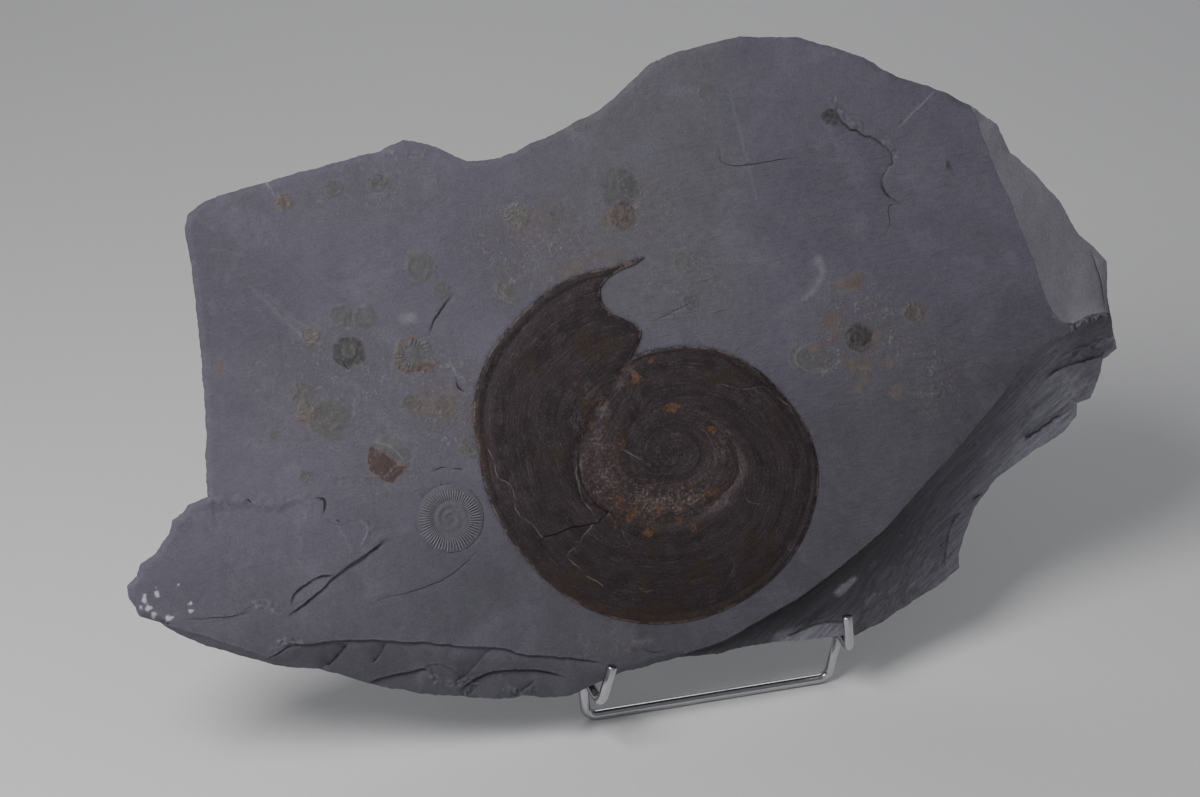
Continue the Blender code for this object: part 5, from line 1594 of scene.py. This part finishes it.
class Link:
    """A shader socket that takes part in arithmetic. Each operation adds a Math node."""

    def __init__(self, finish, socket):
        self.finish = finish
        self.socket = socket

    def math(self, operation, *values):
        return self.finish.node("Math", {"operation": operation}, dict(enumerate(values)))

    __add__ = operator("ADD")
    __radd__ = operator("ADD", swapped=True)
    __sub__ = operator("SUBTRACT")
    __rsub__ = operator("SUBTRACT", swapped=True)
    __mul__ = operator("MULTIPLY")
    __rmul__ = operator("MULTIPLY", swapped=True)
    __pow__ = operator("POWER")
    at_most = operator("MINIMUM")

    def __abs__(self):
        return self.math("ABSOLUTE", self)

    def sine(self):
        return self.math("SINE", self)

    def rising(self, low, high):
        """0 below low, 1 above high and smooth between."""
        return self.finish.node("MapRange", {"interpolation_type": "SMOOTHSTEP"},
                                {"Value": self, "From Min": low, "From Max": high})

    def falling(self, low, high):
        """1 below low, 0 above high and smooth between."""
        return 1.0 - self.rising(low, high)


class Finish:
    """A procedural material. Its nodes are all made by one method.

    Its colour is built up in layers by cover and dim.
    """

    def __init__(self, name):
        self.colour = None
        self.material = bpy.data.materials.new(name)
        self.material.use_nodes = True
        self.tree = self.material.node_tree
        self.shader = self.tree.nodes["Principled BSDF"]

    def node(self, kind, settings=None, sockets=None, output=0):
        made = self.tree.nodes.new("ShaderNode" + kind)
        for name, value in (settings or {}).items():
            setattr(made, name, value)
        for name, value in (sockets or {}).items():
            self.feed(made.inputs[name], value)
        return Link(self, made.outputs[output])

    def feed(self, socket, value):
        if isinstance(value, Link):
            self.tree.links.new(value.socket, socket)
        elif isinstance(value, tuple) and len(value) == 3 and len(socket.default_value) == 4:
            socket.default_value = (*value, 1.0)
        else:
            socket.default_value = value

    def surface(self, **values):
        for name, value in values.items():
            self.feed(self.shader.inputs[name.replace("_", " ")], value)

    def mix(self, factor, first, second):
        """Colour between two colours."""
        return self.node("Mix", {"data_type": "RGBA"}, {0: factor, 6: first, 7: second}, output=2)

    def shade(self, colour, factor):
        """The colour made lighter or darker by a factor around 1."""
        grey = self.vector(factor, factor, factor)
        return self.node("VectorMath", {"operation": "MULTIPLY"}, {0: colour, 1: grey})

    def cover(self, factor, colour):
        """Lays a colour over the colour so far."""
        self.colour = self.mix(factor, self.colour, colour)

    def dim(self, factor):
        """Makes the colour so far lighter or darker."""
        self.colour = self.shade(self.colour, factor)

    def vector(self, x, y, z):
        return self.node("CombineXYZ", None, {0: x, 1: y, 2: z})

    def part(self, vector, axis):
        return self.node("SeparateXYZ", None, {0: vector}, output=axis)

    def field(self, name):
        return self.node("Attribute", {"attribute_name": name}, None, output=2)

    def noise(self, place, scale, detail=2.0, roughness=0.5, distortion=0.0):
        return self.node("TexNoise", None, {"Vector": place, "Scale": scale, "Detail": detail,
                                            "Roughness": roughness, "Distortion": distortion})

    def cells(self, place, scale, output=0):
        """How far the place is from its cell's middle, or for output 1 the cell's own shade."""
        return self.node("TexVoronoi", None, {"Vector": place, "Scale": scale}, output=output)

    def stretched(self, place, turn, size):
        """The place along axes turned about the slab's outward one, each in units of its size."""
        return self.node("Mapping", {"vector_type": "TEXTURE"},
                         {"Vector": place, "Rotation": (0.0, 0.0, turn), "Scale": size})

    def streaks(self, place, turn, size, detail, roughness, distortion=0.0):
        """Noise drawn out along a way across the slab."""
        return self.noise(self.stretched(place, turn, size), 1.0, detail, roughness, distortion)

    def bump(self, height, strength, distance):
        return self.node("Bump", None, {"Height": height, "Strength": strength, "Distance": distance})

    def world_place(self):
        return self.node("TexCoord", None, None, output=3)

    def slab_place(self):
        """The place in the slab frame, in millimetres."""
        turn = -(math.pi / 2.0 - LEAN)
        origin = Matrix.Rotation(turn, 3, "X") @ (STAND_ORIGIN + COIL_CENTRE)
        return self.node("Mapping", None, {"Vector": self.world_place(), "Location": tuple(-origin),
                                           "Rotation": (turn, 0.0, 0.0), "Scale": (MILLIMETRES,) * 3})


SHALE = (0.118, 0.110, 0.146)
SHALE_LIGHT = (0.158, 0.148, 0.190)
SHALE_DARK = (0.078, 0.074, 0.096)
SHALE_OLIVE = (0.102, 0.103, 0.105)
SHALE_CHIP_TONE = (0.212, 0.203, 0.235)
SHALE_SIDE = (0.122, 0.118, 0.140)
SHALE_WEATHERED = (0.120, 0.119, 0.130)
SHALE_PAINTED_SHADE = (0.076, 0.0735, 0.086)
SHALE_CRACKLE = (0.070, 0.070, 0.070)
CRACK_SHADE = (0.014, 0.014, 0.018)
PALE_ROCK_AND_HIGHLIGHT = (0.22, 0.215, 0.25)
STAIN_TAN = (0.132, 0.104, 0.096)
STAIN_RED = (0.078, 0.050, 0.048)
SHELL_CREAM = (0.205, 0.190, 0.190)
DARK_SHELL = (0.028, 0.026, 0.030)
PALE_PAINT = (0.50, 0.50, 0.58)
STONE_GLOSS = 0.35
STONE_BUMP = 0.6
STONE_RELIEF = 0.0007


class Shale(Finish):
    """The slab's stone and the small fossils in it."""

    def __init__(self):
        super().__init__("grey shale")
        place = self.place = self.slab_place()
        self.across = self.part(place, 0)
        self.up = self.part(place, 1)
        self.patch = self.noise(place, 0.045, 4.0, 0.6)
        self.mottle = self.noise(place, 0.22, 6.0, 0.75)
        self.grain = self.noise(place, 0.9, 5.0, 0.65)
        self.brushed = self.streaks(place, math.radians(4.0), (9.0, 1.0, 2.0), 5.0, 0.7, 0.6)
        self.shells = self.field("shells")
        self.side = self.field("side")
        self.paint_ground()
        self.paint_brushing()
        broken_relief = self.paint_broken_rock()
        arcs = self.paint_shell_bits()
        self.paint_marks()
        fine = self.noise(place, 2.6, 3.0, 0.6)
        relief = (0.7 * self.grain + 0.3 * fine + 0.45 * self.brushed + 0.9 * self.mottle + 0.5 * arcs
                  + 0.8 * self.shells * self.mottle)
        self.surface(Base_Color=self.colour, Roughness=0.62 + 0.2 * self.grain,
                     Normal=self.bump(broken_relief(relief), STONE_BUMP, STONE_RELIEF),
                     Specular_IOR_Level=STONE_GLOSS)

    def paint_ground(self):
        """Broad tones of the face, from part to part of the slab, darker in the top left corner, with
        painted shade darkening it towards the lower right.
        """
        across, up = self.across, self.up
        cloud = self.noise(self.place, 0.011, 3.0, 0.6)
        self.colour = self.mix(cloud.rising(0.3, 0.7), SHALE_DARK, SHALE_LIGHT)
        self.cover(0.75, SHALE)
        olive = (0.35 * self.mottle.rising(0.48, 0.66) + 0.5 * self.shells * self.patch.rising(0.35, 0.6)
                 + 0.95 * self.field("olive") * (0.6 + 0.8 * self.grain)).at_most(0.95)
        self.cover(olive, SHALE_OLIVE)
        weathered = across.rising(-90.0, -20.0) * across.falling(48.0, 72.0) * up.rising(40.0, 90.0)
        self.cover(0.55 * weathered, SHALE_WEATHERED)
        # Painted shade: low darkens the face towards the bottom, and most towards the lower right.
        low = (up - 0.2 * across).falling(-40.0, 40.0) * (0.68 + 0.32 * across.rising(-150.0, 0.0))
        corner = across.falling(-270.0, -110.0) * up.rising(50.0, 150.0)
        self.dim(1.0 - 0.26 * corner)
        self.cover(0.84 * low, self.shade(SHALE_PAINTED_SHADE, 0.57 + 0.8 * cloud))
        veil = self.noise(self.place, 0.028, 6.0, 0.72, 0.5)
        self.cover(0.45 * veil.rising(0.5, 0.68) * (1.0 - 0.6 * low), SHALE_LIGHT)
        self.dim(0.86 + 0.28 * self.patch)
        self.dim(0.66 + 0.68 * self.mottle)

    def paint_brushing(self):
        """Fine brushing and scratches over the face, the lighter chipped facet and painted shade on the low
        apron.
        """
        up = self.up
        brushing = 0.22 + 0.4 * self.across.rising(-30.0, 20.0) * up.falling(150.0, 190.0)
        self.dim(1.0 + brushing * (self.brushed - 0.5))
        scuffs = self.streaks(self.place, math.radians(7.0), (16.0, 0.8, 2.0), 3.0, 0.6, 0.8)
        self.dim(1.0 - 0.4 * brushing * scuffs.rising(0.58, 0.72))
        scratched = self.streaks(self.place, math.radians(-58.0), (22.0, 0.5, 3.0), 2.0, 0.5)
        self.dim(1.0 + 0.14 * scratched.rising(0.66, 0.76))
        # The chipped facet is lighter, and lighter still towards the top.
        chip_tone = (0.7 + 0.3 * self.patch + 0.3 * self.mottle) * (1.0 + 0.2 * up.rising(90.0, 140.0))
        self.cover(0.9 * self.field("chip").rising(0.0, 0.5), self.shade(SHALE_CHIP_TONE, chip_tone))
        # Painted shade on the low apron.
        self.dim(1.0 - 0.2 * self.field("apron"))

    def paint_broken_rock(self):
        """The broken sides and the hollow break, which show the beds edge on. The hollow break has painted
        shade, darkest along its steep front edge, and a painted highlight on a lip near its bottom.

        Gives the way to add their relief to that of the face.
        """
        across, side = self.across, self.side
        bend = 1.6 * self.noise(self.place, 0.03, 2.0)
        bent = self.node("VectorMath", {"operation": "ADD"},
                         {0: self.place, 1: self.vector(0.0, 0.0, bend)})
        beds = self.streaks(bent, 0.0, (50.0, 50.0, 1.1), 4.0, 0.7)
        self.cover(side * 0.85, self.shade(SHALE_SIDE, 0.25 + 1.4 * beds))
        streaks = self.streaks(bent, FLANK_RUN, (34.0, 2.2, 1.6), 5.0, 0.72)
        splinters = self.streaks(bent, FLANK_RUN, (12.0, 1.1, 1.1), 4.0, 0.75)
        # Painted shade: the hollow break darkens towards its steep front edge, down to least_light; lit_lip
        # is a painted highlight on the lip near the bottom rim.
        steep = self.field("steep")
        least_light = 0.04 + 0.66 * across.rising(60.0, 200.0)
        painted_shade_under_edge = least_light + (1.0 - least_light) * (1.0 - steep) ** 0.5
        rock = (2.2 * streaks + 0.9 * splinters - 0.5) * painted_shade_under_edge
        along_run = (0.45 + 0.25 * across.rising(55.0, 122.0) + 0.28 * across.rising(120.0, 165.0)
                     + 0.6 * across.rising(165.0, 245.0) - 0.55 * across.rising(250.0, 266.0))
        lit_lip = steep.falling(0.22, 0.42) * across.rising(44.0, 60.0) * across.falling(88.0, 104.0)
        rock = rock * (along_run + 0.9 * lit_lip)
        flank = self.field("flank").rising(0.0, 0.35)
        self.cover(flank * 0.92, self.shade(SHALE_SIDE, rock))
        return lambda relief: (relief + side * (1.6 * beds)
                               + flank * (1.6 * streaks + 1.6 * splinters + 0.3 * beds))

    def paint_shell_bits(self):
        """Crowded bits of shell: pale curved edges over a brownish haze. Gives the edges."""
        place, patch, mottle, shells = self.place, self.patch, self.mottle, self.shells
        swirl = self.noise(place, 0.12, 3.0, 0.6, 1.5)
        self.cover(0.3 * (shells * swirl.rising(0.35, 0.7)).at_most(1.0), STAIN_TAN)
        shift = self.node("TexNoise", None, {"Vector": place, "Scale": 0.16, "Detail": 2.0}, output=1)
        shifted = self.node("VectorMath", {"operation": "MULTIPLY_ADD"},
                            {0: shift, 1: (22.0, 22.0, 0.0), 2: place})
        warped = self.node("Mix", {"data_type": "VECTOR"}, {0: 0.9, 4: place, 5: shifted}, output=1)
        curls = 0.5 + 0.5 * (self.cells(warped, 0.15) * 19.0).sine()
        chosen = self.cells(warped, 0.15, output=1).rising(0.45, 0.6)
        arcs = curls.rising(0.7, 0.95) * chosen * shells * mottle.rising(0.4, 0.55)
        self.cover((0.9 * arcs).at_most(1.0), SHELL_CREAM)
        bits = self.noise(place, 0.45, 4.0, 0.7, 1.2).rising(0.58, 0.68) * swirl.rising(0.4, 0.6)
        self.cover((0.5 * bits * (0.25 + shells)).at_most(1.0), PALE_ROCK_AND_HIGHLIGHT)
        crackle = abs(self.noise(place, 0.2, 5.0, 0.65, 0.8) - 0.5)
        crackled = crackle.falling(0.0, 0.035) * (0.2 + 0.8 * shells) * patch.rising(0.35, 0.6)
        self.cover(0.55 * crackled, SHALE_CRACKLE)
        return arcs

    def paint_marks(self):
        """What the fields place one by one: stains, cream, dark shell, pale lines and crumbs with painted
        highlight on ledge crests, cracks with painted shadow at ledge feet, in pits and round the large
        ammonite, and paint.
        """
        mottle = self.mottle
        rust = self.field("rust")
        self.cover(0.85 * rust.rising(0.0, 0.5) * mottle.rising(0.3, 0.5),
                   self.shade(STAIN_TAN, 0.5 + 1.0 * mottle))
        self.cover(0.9 * rust.rising(0.55, 0.85), self.shade(STAIN_RED, 0.5 + 1.0 * mottle))
        self.cover(self.field("cream") * 0.75, SHELL_CREAM)
        self.cover(self.field("dark"), DARK_SHELL)
        # The pale field also carries painted highlight, and the crack field painted shadow, besides the
        # real pale marks and cracks.
        self.cover((self.field("pale") * (0.5 + 0.6 * self.grain)).at_most(1.0), PALE_ROCK_AND_HIGHLIGHT)
        self.cover((self.field("crack") * 0.85).at_most(1.0), CRACK_SHADE)
        dust = self.cells(self.place, 0.16)
        specks = dust.falling(0.035, 0.075) * self.patch.rising(0.5, 0.62) * (1.0 - self.side)
        self.cover(0.5 * specks, PALE_ROCK_AND_HIGHLIGHT)
        self.cover(self.field("paint"), PALE_PAINT)
        self.dim(0.62 + 0.76 * self.grain)


SHELL_DARK = (0.0185, 0.0126, 0.0150)
SHELL_BROWN = (0.0325, 0.0222, 0.0248)
SHELL_GREY = (0.039, 0.0295, 0.0345)
SHELL_WORN = (0.100, 0.082, 0.086)
SHELL_CRUST = (0.165, 0.122, 0.114)
SHELL_RUSTY = (0.150, 0.072, 0.042)
SHELL_OLIVE = (0.034, 0.0235, 0.0165)
SHELL_UMBER = (0.0245, 0.0140, 0.0150)
SHELL_TAWNY = (0.052, 0.030, 0.019)
SHELL_PALE = (0.20, 0.18, 0.175)
GRAIN_PALE = (0.086, 0.060, 0.060)
GRAIN_CREAM = (0.21, 0.178, 0.165)


class FossilShell(Finish):
    """The large ammonite's brown shell."""

    def __init__(self):
        super().__init__("brown fossil shell")
        place = self.place = self.slab_place()
        self.across = self.part(place, 0)
        self.up = self.part(place, 1)
        self.radius = (self.across * self.across + self.up * self.up) ** 0.5
        self.margin = self.field("margin")
        self.lines = self.along_whorl(0.06, self.margin * 0.75, 4.0, 0.7)
        self.hairs = self.along_whorl(0.09, self.margin * 2.1 + 5.0, 2.0, 0.6)
        self.blotch = self.noise(place, 0.11, 5.0, 0.7)
        self.grain = self.noise(place, 0.8, 5.0, 0.7)
        self.flecks = self.noise(place, 0.85, 6.0, 0.8)
        self.crumbs = 0.55 * self.noise(place, 0.5, 5.0, 0.8) + 0.3 * self.flecks + 0.15 * self.lines
        self.paint_whorls()
        faint_rings = self.paint_navel()
        pale_crumbs = self.paint_crushed_shell()
        self.paint_marks()
        relief = (0.4 * self.lines + 0.3 * self.hairs + 0.7 * self.grain + 0.8 * self.blotch
                  + 1.2 * pale_crumbs * self.crumbs + 0.3 * faint_rings)
        self.surface(Base_Color=self.colour, Roughness=0.52 + 0.25 * self.grain,
                     Normal=self.bump(relief, STONE_BUMP, STONE_RELIEF), Specular_IOR_Level=STONE_GLOSS)

    def along_whorl(self, slow, depth, detail, roughness):
        """Noise in lines that keep their distance from the keel."""
        return self.noise(self.vector(self.across * slow, self.up * slow, depth), 1.0, detail, roughness)

    def paint_whorls(self):
        """The shell's brown, with its growth lines and wear along the whorls."""
        across, up, blotch = self.across, self.up, self.blotch
        bands = self.along_whorl(0.02, self.margin * 0.16 + 9.0, 3.0, 0.6)
        self.colour = self.mix(bands.rising(0.35, 0.65), SHELL_DARK, SHELL_BROWN)
        self.cover(0.6 * blotch.rising(0.42, 0.66), SHELL_GREY)
        self.cover(0.55 * (up + 0.2 * across).falling(-100.0, -30.0), SHELL_UMBER)
        self.dim(0.4 + 1.2 * self.lines)
        self.cover(0.45 * self.hairs.rising(0.55, 0.66) * blotch.rising(0.35, 0.6), SHELL_WORN)
        self.cover(0.46 * self.flecks.rising(0.55, 0.62), SHELL_WORN)
        low_rim = self.margin.falling(1.5, 8.0) * (up + 0.25 * across).falling(-85.0, -50.0)
        self.cover(0.6 * low_rim * blotch.rising(0.38, 0.55), SHELL_TAWNY)
        olive = self.field("rust").rising(0.03, 0.22) * blotch.rising(0.38, 0.5)
        self.cover(0.85 * olive, self.shade(SHELL_OLIVE, 0.5 + self.flecks))

    def paint_navel(self):
        """The whorls at the navel, picked out by fine raised rings. Gives the rings."""
        rings = 0.5 + 0.5 * (self.margin * 1.7 + 2.5 * self.blotch).sine()
        patch = self.noise(self.place, 0.035, 4.0, 0.6)
        faint = rings.rising(0.75, 1.0) * patch.rising(0.35, 0.6) * self.flecks.rising(0.4, 0.6)
        faint_rings = self.radius.falling(14.0, 24.0) * faint
        self.cover(0.5 * faint_rings, SHELL_WORN)
        return faint_rings

    def paint_crushed_shell(self):
        """Crushed pale grains round the navel. Gives the pale ones among them."""
        crumbs, radius, blotch = self.crumbs, self.radius, self.blotch
        granular = self.field("granular")
        pale_crumbs = granular * (0.18 + 0.82 * crumbs.rising(0.46, 0.56))
        self.cover(0.85 * pale_crumbs, GRAIN_PALE)
        lower = (self.up + 0.3 * self.across).falling(-34.0, -8.0)
        creamy = (0.2 + 0.6 * lower * blotch.rising(0.4, 0.6)) * granular * crumbs.rising(0.51, 0.58)
        self.cover(creamy, GRAIN_CREAM)
        shoulder = self.field("share").falling(0.0, 0.14) * radius.falling(52.0, 66.0)
        shoulder = shoulder * crumbs.rising(0.44, 0.56)
        self.cover(0.7 * shoulder * radius.rising(16.0, 26.0), GRAIN_PALE)
        self.cover(0.5 * self.field("cream") * crumbs.rising(0.44, 0.56), GRAIN_CREAM)
        ruddy = granular * lower * self.noise(self.place, 0.24, 3.0, 0.6).rising(0.54, 0.62)
        self.cover(0.6 * ruddy * crumbs.rising(0.42, 0.54), SHELL_RUSTY)
        return pale_crumbs

    def paint_marks(self):
        """Rusty spots, the crusted rim, cracks and fissures, and over them all the grain, with painted
        shade darkening the shell towards the bottom.
        """
        rusty = self.field("rust").rising(0.3, 0.8) * self.crumbs.rising(0.42, 0.54)
        self.cover(0.85 * rusty, SHELL_RUSTY)
        crust = self.noise(self.place, 0.09, 5.0, 0.8).rising(0.45, 0.56)
        rim = self.field("rim").rising(0.35, 0.9) * crust
        self.cover(0.7 * rim, SHELL_CRUST)
        self.cover(0.8 * self.field("pale"), SHELL_PALE)
        self.cover(self.field("fissure") * 0.9, CRACK_SHADE)
        # Painted shade: the shell darkens towards the bottom.
        painted_shade_toward_top = 0.82 + 0.18 * (self.up + 0.3 * self.across).rising(-85.0, 0.0)
        self.dim((0.25 + 1.5 * self.grain) * painted_shade_toward_top)


CHROME_SCUFFED = (0.30, 0.30, 0.31)


def chrome_finish(name, tint, roughness, wear):
    finish = Finish(name)
    world = finish.world_place()
    smear = finish.noise(world, 60.0, 3.0, 0.6)
    scuffs = finish.noise(world, 900.0, 4.0, 0.7)
    finish.surface(Base_Color=finish.mix(wear * scuffs.rising(0.5, 0.75), tint, CHROME_SCUFFED),
                   Roughness=roughness + 0.14 * smear.rising(0.4, 0.7) + 0.1 * wear * scuffs,
                   Normal=finish.bump(scuffs, 0.08 + 0.3 * wear, 0.0002), Metallic=1.0)
    return finish.material


def floor_finish():
    finish = Finish("pale floor")
    cloud = finish.noise(finish.world_place(), 3.0, 2.0)
    finish.surface(Base_Color=finish.mix(cloud, (0.70, 0.70, 0.705), (0.73, 0.73, 0.735)), Roughness=0.85)
    return finish.material


# ---- floor, light and camera --------------------------------------------------------------
FLOOR_HALF = 6.0


def build_floor():
    mesh = bpy.data.meshes.new("floor")
    corners = [(x * FLOOR_HALF, y * FLOOR_HALF, 0.0) for x, y in ((-1, -1), (1, -1), (1, 1), (-1, 1))]
    mesh.from_pydata(corners, [], [(0, 1, 2, 3)])
    mesh.materials.append(floor_finish())
    floor = bpy.data.objects.new("floor", mesh)
    bpy.context.scene.collection.objects.link(floor)


# name, place, size, power, colour
LIGHTS = [
    ("key", (-0.66, -0.42, 1.08), (0.6, 0.6), 12.5, (1.0, 0.985, 0.97)),
    ("fill", (-0.6, -1.9, 0.7), (1.4, 1.4), 2.0, (0.96, 0.98, 1.0)),
    ("back", (0.4, 1.6, 1.6), (1.6, 1.0), 8.0, (1.0, 1.0, 1.0)),
]
LIGHTS_AIM = Vector((0.0, 0.0, 0.17))
SKY_COLOUR = (0.93, 0.95, 1.0, 1.0)
SKY_STRENGTH = 0.20


def build_lights():
    world = bpy.data.worlds.new("studio")
    world.use_nodes = True
    sky = world.node_tree.nodes["Background"]
    sky.inputs["Color"].default_value = SKY_COLOUR
    sky.inputs["Strength"].default_value = SKY_STRENGTH
    bpy.context.scene.world = world
    for name, place, (width, height), power, colour in LIGHTS:
        lamp = bpy.data.lights.new(name, "AREA")
        lamp.shape = "RECTANGLE"
        lamp.size = width
        lamp.size_y = height
        lamp.energy = power
        lamp.color = colour
        made = bpy.data.objects.new(name, lamp)
        made.location = place
        made.rotation_euler = (LIGHTS_AIM - Vector(place)).to_track_quat("-Z", "Y").to_euler()
        bpy.context.scene.collection.objects.link(made)


VIEW_TURN = math.radians(-15.7)
VIEW_RISE = math.radians(28.0)
VIEW_PLACE = Vector((-396.94, -1179.81, 859.60))       # in the stand frame
VIEW_LENS = 77.586


def build_camera():
    back = Vector((math.sin(VIEW_TURN) * math.cos(VIEW_RISE), -math.cos(VIEW_TURN) * math.cos(VIEW_RISE),
                   math.sin(VIEW_RISE)))
    right = Vector((math.cos(VIEW_TURN), math.sin(VIEW_TURN), 0.0))
    up = back.cross(right)
    lens = bpy.data.cameras.new("view")
    lens.lens = VIEW_LENS
    lens.sensor_width = 36.0
    lens.clip_start = 0.05
    lens.clip_end = 50.0
    camera = bpy.data.objects.new("view", lens)
    turn = Matrix((right, up, back)).transposed()
    camera.matrix_world = Matrix.Translation((STAND_ORIGIN + VIEW_PLACE) * METRES) @ turn.to_4x4()
    bpy.context.scene.collection.objects.link(camera)
    bpy.context.scene.camera = camera


# ---- assembly --------------------------------------------------------------------------
shell_outline = build_large_ammonite(FossilShell().material)
shale = Shale().material
build_ribbed_ammonite(shale)
build_slab(shale, shell_outline, ribbed_outline())
build_stand(chrome_finish("polished chrome", (0.50, 0.50, 0.52), 0.10, 0.25),
            chrome_finish("weld metal", (0.40, 0.39, 0.38), 0.32, 0.8))
build_floor()
build_lights()
build_camera()
